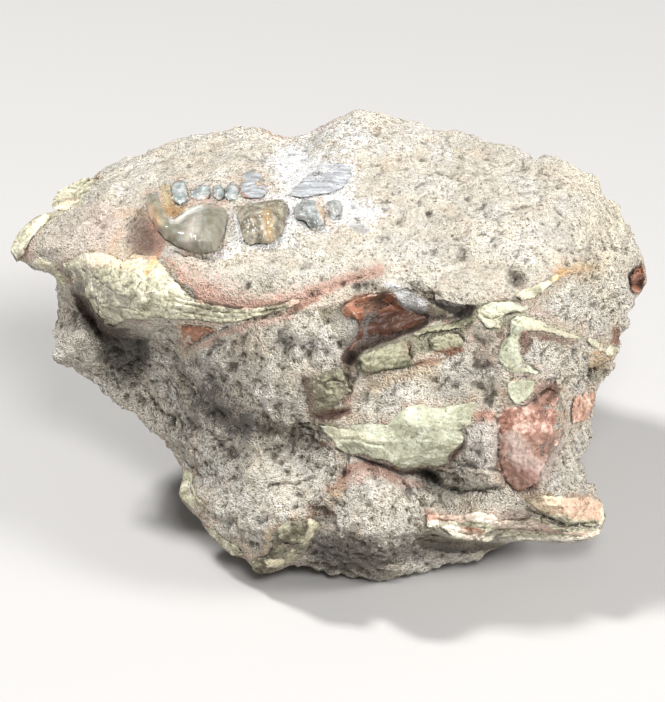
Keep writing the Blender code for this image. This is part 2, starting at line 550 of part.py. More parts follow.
def main():
    for old in list(bpy.data.objects):
        bpy.data.objects.remove(old)
    fossil = bpy.data.collections.new("fossil_squirrel_skull")
    cutters = bpy.data.collections.new("cutters")
    bpy.context.scene.collection.children.link(fossil)
    bpy.context.scene.collection.children.link(cutters)

    rock = material("siltstone", (0.62, 0.56, 0.49), 0.95)
    bone = material("bone", (0.70, 0.68, 0.48), 0.7)
    brown_bone = material("stained_bone", (0.36, 0.15, 0.09), 0.5)
    enamel = material("enamel", (0.46, 0.45, 0.38), 0.25)
    stained = ("orbit_bone", "skull_bone", "cheek_scrap", "edge_bone", "side_bone", "crest_bone")

    block = make_block(fossil)
    block.data.materials.append(rock)
    pieces = [make_flake(fossil)]
    pieces += [let_in(name, sizes, fossil) for name, sizes in {**BONES, **TEETH}.items()]
    pieces += [let_in(name, sizes, fossil, behind=True) for name, sizes in FAR_BONES.items()]
    for piece in pieces:
        kind = enamel if piece.name in TEETH else brown_bone if piece.name in stained else bone
        piece.data.materials.append(kind)
        cut_socket(block, piece, cutters)
    cut_pits(block, cutters)
    cut_flat_spot(block, cutters)
    drop_chips(block)
    for cutter in list(cutters.objects):
        bpy.data.objects.remove(cutter)

    middle = centre_on_origin([block, *pieces])
    for obj in fossil.objects:
        obj.parent = middle


main()
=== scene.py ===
# %% [markdown]
# # Fossil squirrel skull, still in its block of pale siltstone
# The real object is a lump of fine, chalky rock about 42 mm across. A small crushed skull lies in
# it palate up: a row of cheek teeth shows on the upper face, and thin broken plates of bone show
# round the eye socket, the cheek and the temple. Some are cream, some stained orange and brown.
#
# The CAD part already has the block and every bone as a plain solid. This lesson gives each of them
# its real surface: the block is remeshed finely and carved, the bones are remeshed, cracked and worn,
# and every surface gets a material made of noise, stains and grit.

import math

import bpy
import numpy as np
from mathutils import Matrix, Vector, noise
from mathutils.bvhtree import BVHTree


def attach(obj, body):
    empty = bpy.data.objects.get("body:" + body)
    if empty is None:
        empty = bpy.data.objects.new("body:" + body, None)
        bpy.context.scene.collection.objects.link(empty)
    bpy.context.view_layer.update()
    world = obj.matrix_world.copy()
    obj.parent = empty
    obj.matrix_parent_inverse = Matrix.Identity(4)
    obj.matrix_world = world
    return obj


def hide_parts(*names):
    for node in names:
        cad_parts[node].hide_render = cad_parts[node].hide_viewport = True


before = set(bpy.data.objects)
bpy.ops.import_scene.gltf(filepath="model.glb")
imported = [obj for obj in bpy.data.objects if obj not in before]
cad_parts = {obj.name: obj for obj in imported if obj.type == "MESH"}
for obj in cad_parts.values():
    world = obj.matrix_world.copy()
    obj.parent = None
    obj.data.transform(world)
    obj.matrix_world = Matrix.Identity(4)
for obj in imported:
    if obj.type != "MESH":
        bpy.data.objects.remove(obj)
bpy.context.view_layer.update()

# %% [markdown]
# ## Where things are
# The block is studied face-on, from in front and 30 degrees above, as it stands in the photograph.
# Cracks, ledges and stains are drawn on that view, so each has a place in the picture frame,
# in its pixels, and a width and depth in millimetres. They could be placed in the block's own space,
# but a flat view is far easier to draw on. These few numbers tie the frame to the block.

# %% The studied view
MM = 0.001
FRAME_SIZE = (665, 702)
FRAME_MIDDLE = (332.5, 351.0)
PIXELS_PER_MM = 15.0
VIEW_TILT = math.radians(30)
EYE_DISTANCE = 300 * MM
VIEW_CENTRE = np.array((0.26, -3.67, 13.84)) * MM

ACROSS = np.array((1.0, 0.0, 0.0))
UP = np.array((0.0, math.sin(VIEW_TILT), math.cos(VIEW_TILT)))
OUT = np.array((0.0, -math.cos(VIEW_TILT), math.sin(VIEW_TILT)))


def seen_at(points):
    """Where each point shows in the picture frame, in pixels."""
    place = points - VIEW_CENTRE
    nearness = place @ OUT
    scale = PIXELS_PER_MM / MM / (1 - nearness / EYE_DISTANCE)
    across = FRAME_MIDDLE[0] + scale * (place @ ACROSS)
    down = FRAME_MIDDLE[1] - scale * (place @ UP)
    return np.column_stack([across, down])


# %% [markdown]
# ## Camera, light and floor
# A small object is photographed from about 30 cm with a long lens, so that nothing is stretched.
# Three soft lamps stand round it. One is small and stands high on the left, a little behind: it
# rakes over the palate and gives the hollows their crisp shadows. Two broader ones, in front and on
# the right, and a pale sky keep those shadows open. One lamp alone would leave the flank black.

# %% Camera
SENSOR = 36.0
FRAME_HEIGHT = FRAME_SIZE[1] / PIXELS_PER_MM * MM

camera_data = bpy.data.cameras.new("studio_camera")
camera_data.sensor_width = SENSOR
camera_data.lens = SENSOR * EYE_DISTANCE / FRAME_HEIGHT
camera_data.clip_start = 0.01
camera = bpy.data.objects.new("studio_camera", camera_data)
camera.location = Vector(VIEW_CENTRE + OUT * EYE_DISTANCE)
camera.rotation_euler = Vector(OUT).to_track_quat("Z", "Y").to_euler()
bpy.context.scene.collection.objects.link(camera)
bpy.context.scene.camera = camera
print("camera lens, in mm:", round(camera_data.lens, 1))

# %% Lamps: place and size in metres, power in watts
LAMPS = {
    "upper_left": ((-0.15, 0.03, 0.30), 0.045, 1.26),
    "in_front": ((0.04, -0.25, 0.24), 0.08, 0.88),
    "right_side": ((0.28, -0.11, 0.17), 0.08, 1.25),
}


def soft_light(name, place, size, power):
    """A square lamp, turned to the block."""
    data = bpy.data.lights.new(name, "AREA")
    data.energy = power
    data.size = size
    lamp = bpy.data.objects.new(name, data)
    lamp.location = place
    lamp.rotation_euler = (Vector(place) - Vector(VIEW_CENTRE)).to_track_quat("Z", "Y").to_euler()
    bpy.context.scene.collection.objects.link(lamp)


for name, (place, size, power) in LAMPS.items():
    soft_light(name, place, size, power)
print("lamps:", len(LAMPS))

# %% Sky and floor
SKY_STRENGTH = 0.24
FLOOR_SIZE = 3.0

world = bpy.data.worlds.new("studio_sky")
world.use_nodes = True
sky = world.node_tree.nodes["Background"]
sky.inputs["Color"].default_value = (1.0, 1.0, 1.0, 1.0)
sky.inputs["Strength"].default_value = SKY_STRENGTH
bpy.context.scene.world = world
bpy.context.scene.view_settings.view_transform = "Standard"

bpy.ops.object.select_all(action="DESELECT")
bpy.ops.mesh.primitive_plane_add(size=FLOOR_SIZE, location=(0, 0, 0))
floor = bpy.context.object
floor.name = "studio_floor"

# %% [markdown]
# ## Mesh helpers
# A rock surface has far too many points to move one by one, so they are read into an array, moved
# together and written back. The remesh, smooth and displace steps are Blender's own modifiers,
# applied at once. A sculpting brush would do the same by hand, but couldn't be run again.


# %% Reading and moving a mesh's points
def read_numbers(items, what):
    """Three numbers of each point or face, such as its place or its normal."""
    flat = np.empty(len(items) * 3, np.float32)
    items.foreach_get(what, flat)
    return flat.reshape(-1, 3).astype(float)


def points_of(piece):
    """The place of each point."""
    return read_numbers(piece.data.vertices, "co")


def normals_of(piece):
    """The way that the surface faces at each point."""
    return read_numbers(piece.data.vertex_normals, "vector")


def move_points(piece, points):
    """Put each point in its new place."""
    piece.data.vertices.foreach_set("co", points.astype(np.float32).ravel())
    piece.data.update()


def write_number(piece, name, values):
    """Keep a number for each point of the mesh, for its material to read."""
    layer = piece.data.attributes.new(name, "FLOAT", "POINT")
    layer.data.foreach_set("value", values.astype(np.float32))


# %% Copies and modifiers
MERGED_WITHIN = 0.002 * MM


def pick(piece):
    """Select this one piece and make it the active one."""
    bpy.ops.object.select_all(action="DESELECT")
    piece.select_set(True)
    bpy.context.view_layer.objects.active = piece


def apply_modifier(piece, kind, **settings):
    """Add a modifier with these settings and apply it."""
    pick(piece)
    made = piece.modifiers.new(kind.lower(), kind)
    for name, value in settings.items():
        setattr(made, name, value)
    bpy.ops.object.modifier_apply(modifier=made.name)


def merged_copy(node, name):
    """A new object with a copy of a CAD node's mesh, its loose triangles merged."""
    piece = bpy.data.objects.new(name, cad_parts[node].data.copy())
    bpy.context.scene.collection.objects.link(piece)
    piece.data.materials.clear()
    pick(piece)
    bpy.ops.object.mode_set(mode="EDIT")
    bpy.ops.mesh.select_all(action="SELECT")
    bpy.ops.mesh.remove_doubles(threshold=MERGED_WITHIN)
    bpy.ops.object.mode_set(mode="OBJECT")
    return piece


# %% Noise on a surface
OCTAVE_FADE = 0.8
OCTAVE_STEP = 2.0
CELL_BORDER = 0.07


def rough(points, lump, octaves=3, seed=0.0):
    """Fractal noise at each point, about -1 to 1, with lumps of this many millimetres."""
    places = points / (lump * MM) + seed
    return np.array([noise.fractal(Vector(p), OCTAVE_FADE, OCTAVE_STEP, octaves) for p in places])


def billowed(points, lump, seed):
    """Noise of round crumbs with sharp creases between them, about -1 to 1."""
    places = points / (lump * MM) + seed
    return np.array([2 * noise.turbulence(Vector(place), 3, True) - 1 for place in places])


def stepped(points, patch, steps, seed):
    """Noise cut into terraces, as where thin flakes have come away."""
    return np.round(rough(points, patch, 3, seed) * steps) / steps


def crazed(points, cell, seed):
    """1 along the borders of cells this many millimetres across, and 0 inside them."""
    places = points / (cell * MM) + seed
    found = [noise.voronoi(Vector(place))[0] for place in places]
    return np.array([max(0.0, 1 - (near[1] - near[0]) / CELL_BORDER) for near in found])


# %% [markdown]
# ## Carving tools
# A preparator frees the bones with a needle, and the rock breaks along thin layers. Five kinds of
# stroke copy what is left: a groove is a crack, a ledge is a step where one layer ends over the
# next, a plate is a raised or sunken patch, a pit is a round hole, and layers are thin beds with
# ragged ends. Each follows a path or an outline drawn on the studied view, and says how far the rock
# rises or sinks there. They are shaken a little with noise, so that no stroke looks ruled. Brushes
# would be freer, but a brush stroke can't be read, mended or run again.

# %% Distances on the studied view
FAR_OFF = 1e9


def box_near(spots, path, margin):
    """Which spots lie within a margin of a path's box, so that the rest cost no time."""
    corners = np.array(path, float)
    low = corners.min(0) - margin
    high = corners.max(0) + margin
    return np.flatnonzero(((spots > low) & (spots < high)).all(1))


def to_path(spots, path):
    """Distance to an open path in pixels, which side (below a path drawn rightwards is positive),
    and how far the nearest point is from the path's nearer end."""
    corners = np.array(path, float)
    runs = np.diff(corners, axis=0)
    lengths = np.hypot(*runs.T)
    starts = np.concatenate([[0.0], np.cumsum(lengths)])
    nearest = np.full(len(spots), FAR_OFF)
    side = np.ones(len(spots))
    travelled = np.zeros(len(spots))
    for corner, run, length, start in zip(corners, runs, lengths, starts):
        offset = spots - corner
        share = np.clip(offset @ run / length**2, 0, 1)
        away = np.hypot(*(offset - share[:, None] * run).T)
        closer = away < nearest
        nearest = np.where(closer, away, nearest)
        cross = run[0] * offset[:, 1] - run[1] * offset[:, 0]
        side = np.where(closer, np.sign(cross), side)
        travelled = np.where(closer, start + share * length, travelled)
    return nearest, side, np.minimum(travelled, starts[-1] - travelled)


def inside(spots, outline):
    """Distance to a closed outline in pixels, positive inside it."""
    corners = np.array(outline, float)
    nearest = np.full(len(spots), FAR_OFF)
    within = np.zeros(len(spots), bool)
    for start, end in zip(corners, np.roll(corners, -1, 0)):
        run = end - start
        offset = spots - start
        share = np.clip(offset @ run / (run @ run), 0, 1)
        nearest = np.minimum(nearest, np.hypot(*(offset - share[:, None] * run).T))
        crosses = (start[1] > spots[:, 1]) != (end[1] > spots[:, 1])
        slope = run[0] / run[1] if run[1] else 0.0
        within ^= crosses & (spots[:, 0] < start[0] + (spots[:, 1] - start[1]) * slope)
    return np.where(within, nearest, -nearest)


# %% Grooves and ledges
CRACK_ENDS = 0.3
LEDGE_FADES = 3
BRINK_PIXELS = 1.2


def groove(spots, path, wide, deep):
    """A crack of this width and depth, in mm, that dies down at both ends."""
    lift = np.zeros(len(spots))
    half = wide * PIXELS_PER_MM / 2
    near = box_near(spots, path, half)
    away, _, to_end = to_path(spots[near], path)
    lift[near] = -deep * np.clip(1 - away / half, 0, 1) * np.clip(to_end / (2 * half), CRACK_ENDS, 1)
    return lift


def ledge(spots, path, rise, drop, reach):
    """A broken edge: above a path drawn rightwards the rock rises, and below it the rock drops."""
    lift = np.zeros(len(spots))
    fade = reach * PIXELS_PER_MM
    near = box_near(spots, path, LEDGE_FADES * fade)
    away, side, to_end = to_path(spots[near], path)
    level = np.where(side < 0, rise, -drop)
    brink = np.clip(away / BRINK_PIXELS, 0, 1)
    lift[near] = level * brink * np.exp(-away / fade) * np.clip(to_end / fade, 0, 1)
    return lift


# %% Plates and pits
def plate(spots, outline, high, slope):
    """A patch raised by this many mm (or sunk, if negative), with a slope round it."""
    lift = np.zeros(len(spots))
    edge = slope * PIXELS_PER_MM
    near = box_near(spots, outline, edge)
    lift[near] = high * np.clip(inside(spots[near], outline) / edge + 0.5, 0, 1)
    return lift


def pit(spots, place, wide, deep):
    """A round pit."""
    away = np.hypot(*(spots - place).T) / (wide * PIXELS_PER_MM / 2)
    return -deep * np.sqrt(np.clip(1 - away**2, 0, 1))


# %% Layers
BED_LENGTH = 7
BED_FADE_PIXELS = 8


def layers(spots, outline, angle, spacing, high):
    """Thin broken layers that run at this angle, in degrees, and stand out by so many mm."""
    lift = np.zeros(len(spots))
    near = box_near(spots, outline, 1)
    turn = math.radians(angle)
    along = spots[near] @ (math.cos(turn), -math.sin(turn))
    across = spots[near] @ (math.sin(turn), math.cos(turn))
    step = spacing * PIXELS_PER_MM
    places = np.column_stack([along / (BED_LENGTH * step), across / step, np.full(len(near), angle)])
    wave = np.array([noise.turbulence(Vector(place), 3, True) for place in places])
    share = np.clip(inside(spots[near], outline) / BED_FADE_PIXELS, 0, 1)
    lift[near] = high * (wave - wave.mean() if len(wave) else wave) * 2 * share
    return lift


# %% [markdown]
# ## Marks in the rock and the bone
# These are the cracks, broken edges, slabs and holes that make this one block and no other. Each is
# drawn over the studied view and named for what it is. They could be sculpted, or left to
# noise, but noise knows nothing of where a plate has snapped, and a named stroke is easy to mend.
# Places are in pixels of the studied view, and all other sizes are in millimetres.

# %% Cracks: path, width, depth
CRACKS = {
    "cheek_left": ([(119, 259), (121, 268), (119, 276), (121, 286)], 0.16, 0.2),
    "cheek_right": ([(143, 277), (137, 288), (134, 298), (129, 302)], 0.16, 0.2),
    "cheek_top": ([(129, 254), (136, 253), (142, 255), (149, 261)], 0.2, 0.2),
    "cheek_fine": ([(98, 270), (106, 266), (113, 262)], 0.14, 0.12),
    "under_tooth": ([(172, 250), (184, 255), (194, 257), (210, 259)], 0.3, 0.35),
    "cheek_layer_one": ([(163, 299), (190, 305), (216, 312), (249, 314), (287, 306)], 0.22, 0.25),
    "cheek_layer_two": ([(168, 307), (196, 314), (222, 318), (250, 319)], 0.2, 0.2),
    "cheek_layer_three": ([(150, 303), (170, 312), (190, 317)], 0.2, 0.15),
    "arch_break": ([(407, 340), (411, 347), (408, 355), (414, 358)], 0.22, 0.3),
    "arch_tile_side": ([(427, 338), (430, 345), (428, 352)], 0.2, 0.3),
    "arch_tile_top": ([(409, 337), (430, 334), (452, 331), (460, 334)], 0.18, 0.2),
    "arch_tile_end": ([(458, 333), (463, 339), (466, 343)], 0.2, 0.2),
    "under_arch": (
        [(361, 381), (368, 375), (377, 372), (391, 369), (407, 367), (424, 362)], 0.2, 0.28),
    "jaw_loop": ([(322, 383), (330, 380), (340, 380), (347, 384)], 0.18, 0.25),
    "jaw_ring": (
        [(326, 389), (332, 388), (334, 393), (331, 398), (326, 396), (325, 391)], 0.14, 0.15),
    "jaw_foot": ([(311, 414), (322, 416), (334, 413), (349, 411)], 0.4, 0.3),
    "jaw_side": ([(338, 402), (344, 396), (352, 391)], 0.18, 0.2),
    "plate_crack_one": ([(423, 426), (426, 430), (428, 434)], 0.12, 0.12),
    "plate_crack_two": ([(408, 441), (412, 437), (418, 434)], 0.12, 0.12),
    "plate_crack_three": ([(428, 422), (440, 423), (449, 425)], 0.12, 0.1),
    "plate_fold": ([(334, 439), (354, 439), (368, 443), (388, 446)], 0.35, 0.22),
    "splint_line": ([(539, 288), (552, 279), (562, 272), (580, 268), (594, 267)], 0.22, 0.12),
    "temple_shadow": ([(543, 372), (563, 374), (583, 372), (598, 365)], 0.3, 0.3),
    "temple_top": ([(476, 307), (489, 303), (500, 301)], 0.18, 0.15),
    "temple_fold": ([(482, 317), (492, 319), (505, 315), (517, 311)], 0.2, 0.3),
    "scale_split": ([(508, 380), (520, 376), (530, 377)], 0.18, 0.3),
    "ledge_crack": ([(436, 489), (452, 491), (467, 490), (484, 487), (501, 484)], 0.2, 0.3),
    "ledge_lower": ([(498, 516), (508, 510), (518, 503)], 0.16, 0.2),
    "block_crack": ([(524, 507), (536, 513), (549, 518), (568, 525), (599, 523)], 0.32, 0.6),
    "lobe_seam": ([(345, 478), (346, 492), (344, 508), (347, 516)], 0.28, 0.25),
    "lobe_line_one": ([(336, 531), (358, 540), (380, 543), (401, 542)], 0.3, 0.2),
    "lobe_line_two": ([(330, 545), (352, 553), (380, 556)], 0.3, 0.15),
    "jaw_angle_seam": ([(270, 530), (272, 540), (271, 549), (266, 560)], 0.2, 0.22),
    "keel_lip_one": ([(264, 489), (272, 485), (281, 483), (290, 483), (299, 485)], 0.3, 0.3),
    "keel_lip_two": ([(298, 478), (304, 474), (313, 472)], 0.18, 0.15),
    "keel_lip_three": ([(314, 471), (320, 465), (328, 465)], 0.16, 0.15),
    "back_arc": (
        [(440, 188), (463, 195), (472, 209), (498, 223), (523, 233), (545, 231)], 0.5, 0.1),
    "ledge_seam": ([(449, 460), (456, 452), (464, 443)], 0.35, 0.3),
    "shelf_layer_one": ([(430, 519), (452, 521), (470, 527), (500, 529), (540, 530)], 0.2, 0.22),
    "shelf_layer_two": ([(456, 531), (476, 537), (500, 536)], 0.18, 0.15),
    "under_shelf_line": ([(421, 540), (440, 541), (462, 541), (480, 543)], 0.25, 0.3),
    "skull_edge": ([(497, 430), (497, 448), (499, 462), (505, 480), (516, 491)], 0.22, 0.2),
    "side_seam": ([(566, 420), (562, 404), (568, 392), (580, 384)], 0.25, 0.25),
    "brow_line": ([(471, 376), (468, 366), (476, 356)], 0.16, 0.12),
    "recess_crack": ([(248, 376), (258, 381), (271, 383), (279, 388)], 0.14, 0.12),
}

# %% Ledges: path drawn rightwards, rise above it, drop below it, reach
LEDGES = {
    "cheek_brink": (
        [(160, 254), (168, 264), (179, 282), (193, 291), (198, 300), (214, 304), (243, 309),
         (261, 306), (289, 300), (297, 299)], 0.12, 0.12, 0.5),
    "red_band": ([(296, 299), (314, 292), (341, 281), (368, 274)], 0.05, 0.12, 0.5),
    "orbit_brow": (
        [(368, 275), (381, 279), (405, 284), (430, 295), (449, 302), (463, 305), (480, 306)], 0.2,
         0.1, 0.5),
    "temple_brow": ([(493, 301), (504, 298), (517, 300), (533, 288)], 0.15, 0.1, 0.6),
    "orbit_rim": ([(288, 315), (312, 308), (333, 305), (349, 300)], 0.18, 0.1, 0.3),
    "flank_rim": (
        [(186, 350), (201, 341), (216, 334), (232, 327), (249, 322), (268, 318), (287, 315),
         (300, 313)], -0.2, -0.25, 0.5),
    "flank_overhang": (
        [(200, 388), (214, 404), (230, 418), (245, 426), (262, 431), (282, 434), (301, 436),
         (322, 436)], 0.15, 0.15, 0.8),
    "keel_swell": ([(262, 490), (272, 485), (290, 483), (302, 481), (322, 474)], 0.15, 0.1, 0.8),
    "lobe_brink": ([(318, 521), (312, 536), (308, 548), (298, 560)], -0.3, -0.1, 0.8),
    "lobe_right": ([(440, 490), (428, 509), (425, 520), (421, 536), (419, 552)], -0.25, -0.25, 0.7),
    "temple_inner": (
        [(520, 357), (529, 366), (543, 374), (563, 375), (583, 373), (598, 366)], 0.25, 0.2, 0.7),
    "scale_hollow": ([(529, 384), (541, 381), (553, 379), (562, 386)], 0.1, 0.4, 0.7),
    "slab_top": ([(436, 470), (452, 467), (467, 467), (485, 472), (504, 480)], 0.1, -0.1, 0.4),
    "layered_wall": ([(441, 490), (467, 491), (485, 489), (502, 484)], 0.1, 0.25, 0.5),
    "right_notch": ([(588, 384), (598, 378), (606, 366)], 0.2, 0.25, 0.6),
    "knob_brink": ([(62, 364), (72, 370), (84, 368), (95, 362)], 0.2, 0.15, 0.6),
}

# %% Plates: outline, height, width of the slope
PLATES = {
    "recess_cave": (
        [(75, 293), (88, 302), (96, 318), (107, 326), (122, 324), (140, 334), (143, 352),
         (136, 372), (118, 384), (98, 372), (101, 352), (94, 336), (82, 316)], -1.0, 0.7),
    "recess_deep": (
        [(82, 300), (94, 318), (108, 328), (124, 330), (144, 340), (146, 362), (130, 372),
         (106, 352), (94, 334)], -0.9, 0.9),
    "crevice": (
        [(356, 456), (372, 460), (388, 465), (402, 470), (424, 469), (440, 472), (440, 486),
         (430, 484), (421, 478), (402, 477), (389, 471), (372, 464)], -1.2, 0.2),
    "cheek_gap": (
        [(345, 356), (352, 354), (361, 362), (362, 378), (352, 388), (346, 376)], -0.9, 0.4),
    "layered_slab": (
        [(434, 470), (452, 467), (480, 469), (502, 475), (502, 484), (484, 488), (464, 489),
         (444, 486)], 1.5, 0.3),
    "lobe_bulge": (
        [(346, 480), (400, 482), (436, 492), (425, 520), (416, 545), (370, 548), (346, 520)], 0.5,
         1.5),
    "left_of_plate": (
        [(298, 428), (312, 426), (328, 438), (344, 454), (346, 468), (330, 470), (312, 460),
         (300, 446)], 1.1, 0.6),
    "brow_fill": (
        [(378, 280), (405, 285), (430, 296), (449, 303), (462, 307), (450, 314), (432, 312),
         (412, 310), (396, 304), (382, 292)], 1.3, 0.5),
    "orbit_floor": (
        [(348, 346), (366, 338), (396, 332), (424, 320), (410, 333), (382, 342), (356, 358),
         (344, 362)], -0.3, 0.4),
    "lobe_flake": ([(400, 477), (421, 477), (441, 490), (429, 507), (414, 490)], 0.45, 0.2),
    "layered_rock": (
        [(466, 428), (480, 422), (497, 426), (498, 448), (494, 466), (478, 471), (466, 460)], 0.4,
         0.3),
    "snout_rim": (
        [(28, 231), (48, 212), (63, 205), (78, 201), (80, 207), (64, 213), (50, 221), (32, 238)],
         0.25, 0.25),
    "snout_lip": (
        [(33, 264), (40, 259), (52, 264), (62, 277), (64, 286), (58, 282), (50, 270), (40, 267)],
         0.25, 0.25),
    "jaw_angle_rim": (
        [(308, 519), (321, 520), (318, 530), (309, 544), (299, 557), (294, 554), (304, 540),
         (311, 527)], 0.25, 0.2),
    "splint_ridge": (
        [(518, 298), (540, 284), (560, 271), (596, 263), (600, 268), (566, 278), (544, 290),
         (522, 303)], 0.25, 0.3),
    "ledge_strip": ([(452, 464), (466, 444), (471, 447), (462, 468)], 0.25, 0.15),
    "right_hollow": ([(630, 273), (641, 265), (643, 276), (641, 290), (633, 283)], -0.7, 0.35),
    "side_hollow": ([(611, 340), (612, 330), (620, 326), (622, 338), (619, 348)], -0.5, 0.35),
    "brown_ridge": ([(585, 369), (598, 364), (610, 366), (603, 378), (590, 384)], 0.35, 0.5),
    "tooth_pit": (
        [(143, 211), (132, 221), (127, 239), (130, 253), (150, 255), (160, 240), (154, 226)], -0.15,
         0.4),
    "temple_red_hollow": (
        [(529, 398), (541, 388), (553, 383), (561, 388), (556, 400), (540, 408)], -0.45, 0.5),
    "lower_pit": (
        [(170, 416), (180, 411), (192, 415), (198, 425), (194, 435), (180, 433), (169, 427)], -0.7,
         0.6),
    "lower_pit_deep": ([(186, 420), (195, 418), (199, 427), (194, 434), (187, 430)], -0.6, 0.4),
    "notch": ([(184, 458), (194, 462), (201, 473), (197, 476), (188, 468)], -0.4, 0.3),
    "notch_shadow": ([(203, 459), (212, 456), (215, 468), (209, 477), (204, 470)], -0.25, 0.5),
    "dark_patch": (
        [(209, 404), (228, 408), (250, 424), (246, 432), (222, 426), (208, 414)], -0.35, 0.6),
    "dark_patch_two": ([(256, 424), (276, 426), (296, 430), (292, 437), (268, 433)], -0.2, 0.5),
    "plate_hollow": (
        [(304, 437), (320, 434), (334, 440), (336, 450), (318, 450), (306, 446)], -0.12, 0.6),
    "flank_dent": ([(226, 362), (238, 362), (240, 369), (230, 371)], -0.3, 0.4),
    "flank_hole": ([(184, 385), (194, 383), (204, 390), (203, 399), (190, 399)], -0.3, 0.5),
    "lobe_hollow_one": ([(380, 551), (392, 549), (402, 553), (396, 560), (383, 559)], -0.3, 0.4),
    "lobe_hollow_two": ([(342, 543), (350, 542), (354, 547), (346, 550)], -0.22, 0.3),
    "jaw_angle_bowl": (
        [(278, 535), (292, 531), (305, 535), (303, 548), (288, 556), (278, 550)], -0.28, 0.6),
    "orbit_shelf": (
        [(345, 306), (356, 296), (378, 292), (397, 296), (402, 306), (380, 315), (352, 315)], 0.35,
         0.4),
    "under_shelf_wedge": (
        [(421, 527), (440, 527), (454, 536), (499, 540), (506, 545), (463, 550), (420, 544)], 0.45,
         0.3),
}

# %% Layered rock and bone: outline, direction in degrees, spacing, height
LAYERED = {
    "flank_beds": (
        [(190, 356), (250, 330), (330, 344), (340, 420), (250, 416), (200, 392)], -24, 0.5, 0.1),
    "keel_beds": ([(214, 440), (330, 440), (334, 470), (262, 486), (216, 470)], -12, 0.5, 0.08),
    "cheek_low": (
        [(150, 296), (200, 300), (250, 308), (300, 296), (290, 318), (230, 324), (170, 326),
         (120, 320), (110, 305)], -6, 0.35, 0.12),
    "cheek_high": (
        [(60, 262), (110, 250), (160, 262), (190, 292), (150, 300), (90, 305)], 20, 0.6, 0.08),
    "orbit_wall": ([(340, 300), (400, 290), (428, 316), (380, 345), (345, 360)], 20, 0.4, 0.08),
    "under_arch": (
        [(350, 378), (420, 364), (470, 366), (470, 400), (400, 412), (352, 402)], 15, 0.4, 0.12),
    "arch": ([(357, 340), (460, 322), (464, 352), (420, 366), (360, 378)], 12, 0.4, 0.09),
    "temple": (
        [(470, 300), (620, 330), (612, 360), (520, 330), (500, 372), (474, 372)], -18, 0.45, 0.1),
    "plate": ([(320, 430), (478, 401), (470, 425), (445, 466), (350, 452)], 12, 0.5, 0.05),
    "behind_plate": ([(440, 410), (500, 418), (500, 490), (430, 490), (444, 460)], -10, 0.35, 0.16),
    "shelf": ([(424, 508), (600, 508), (600, 542), (424, 546)], -4, 0.3, 0.14),
    "shelf_block": ([(519, 494), (570, 488), (604, 500), (602, 525), (550, 520)], -12, 0.3, 0.1),
    "lobe_low": ([(300, 530), (420, 520), (440, 556), (380, 584), (300, 570)], -8, 0.55, 0.18),
    "right_rim": ([(560, 380), (606, 360), (606, 480), (566, 490)], 60, 0.5, 0.1),
    "snout_rim": (
        [(10, 250), (60, 200), (80, 196), (60, 225), (34, 266), (60, 284), (50, 262)], 50, 0.3,
         0.06),
}

# %% Small round pits seen in the rock: place, width
ROUND_PITS = [
    ((516, 279), 1.2), ((547, 175), 0.5), ((540, 199), 0.45), ((461, 159), 0.45), ((427, 214), 0.5),
    ((482, 235), 0.5), ((451, 236), 0.3), ((372, 255), 0.4), ((537, 253), 0.3), ((388, 203), 0.35),
    ((377, 132), 0.5), ((497, 246), 0.3), ((524, 263), 0.25), ((248, 287), 0.5), ((241, 282), 0.25),
    ((342, 284), 0.4), ((357, 288), 0.6), ((366, 285), 0.5), ((285, 342), 0.4), ((339, 345), 0.6),
    ((262, 358), 0.3), ((233, 366), 0.7), ((255, 378), 0.3), ((330, 338), 0.35), ((312, 352), 0.3),
    ((462, 495), 0.5), ((300, 495), 0.45), ((295, 506), 0.35), ((294, 452), 0.4), ((287, 472), 0.4),
    ((274, 449), 0.3), ((195, 382), 0.5), ((160, 222), 0.2), ((455, 386), 0.55), ((446, 381), 0.35),
    ((470, 372), 0.3), ((83, 270), 0.25), ((66, 344), 0.35), ((88, 372), 0.35), ((420, 447), 0.2),
    ((62, 226), 0.25), ((83, 231), 0.2), ((96, 226), 0.2), ((583, 250), 0.25), ((592, 275), 0.3),
    ((565, 300), 0.3), ((344, 471), 0.25), ((318, 489), 0.25), ((330, 499), 0.25),
    ((440, 555), 0.35), ((463, 552), 0.4),
]

# %% Shaking the spots: size of the lumps in mm, and the farthest move in pixels
RAGGED = (0.5, 1.1)
WIDELY_RAGGED = (1.6, 2.2)
WOBBLE_SEEDS = (17.0, 43.0)


def shaken(spots, points, lump, far):
    """The spots moved up to so many pixels by noise, so that drawn edges come out ragged."""
    wobble = [rough(points, lump, 2, seed) for seed in WOBBLE_SEEDS]
    return spots + far * np.column_stack(wobble)


# %% All strokes together
UNEVEN = 0.7
UNEVEN_NOISE = (1.5, 2, 71.0)
PIT_WIDTH = 1.2
PIT_DEPTH = 0.7
FRONT_SHARE = 0.6
FRONT_STEEPNESS = 3.0


def front_share(facing):
    """1 on the faces that look at the eye, fading to 0 on the sides."""
    return np.clip(FRONT_SHARE + FRONT_STEEPNESS * facing, 0, 1)


def carved(points, facing):
    """How far the strokes lift each point towards the eye, in mm."""
    spots = shaken(seen_at(points), points, *RAGGED)
    lift = np.zeros(len(points))
    for path, wide, deep in CRACKS.values():
        lift += groove(spots, path, wide, deep)
    for outline, angle, spacing, high in LAYERED.values():
        lift += layers(spots, outline, angle, spacing, high)
    uneven = 1 + UNEVEN * rough(points, *UNEVEN_NOISE)
    spots = shaken(spots, points, *WIDELY_RAGGED)
    for path, rise, drop, reach in LEDGES.values():
        lift += ledge(spots, path, rise, drop, reach) * uneven
    for outline, high, slope in PLATES.values():
        lift += plate(spots, outline, high, slope)
    for place, wide in ROUND_PITS:
        lift += pit(spots, place, PIT_WIDTH * wide, PIT_DEPTH * wide)
    return lift * front_share(facing)


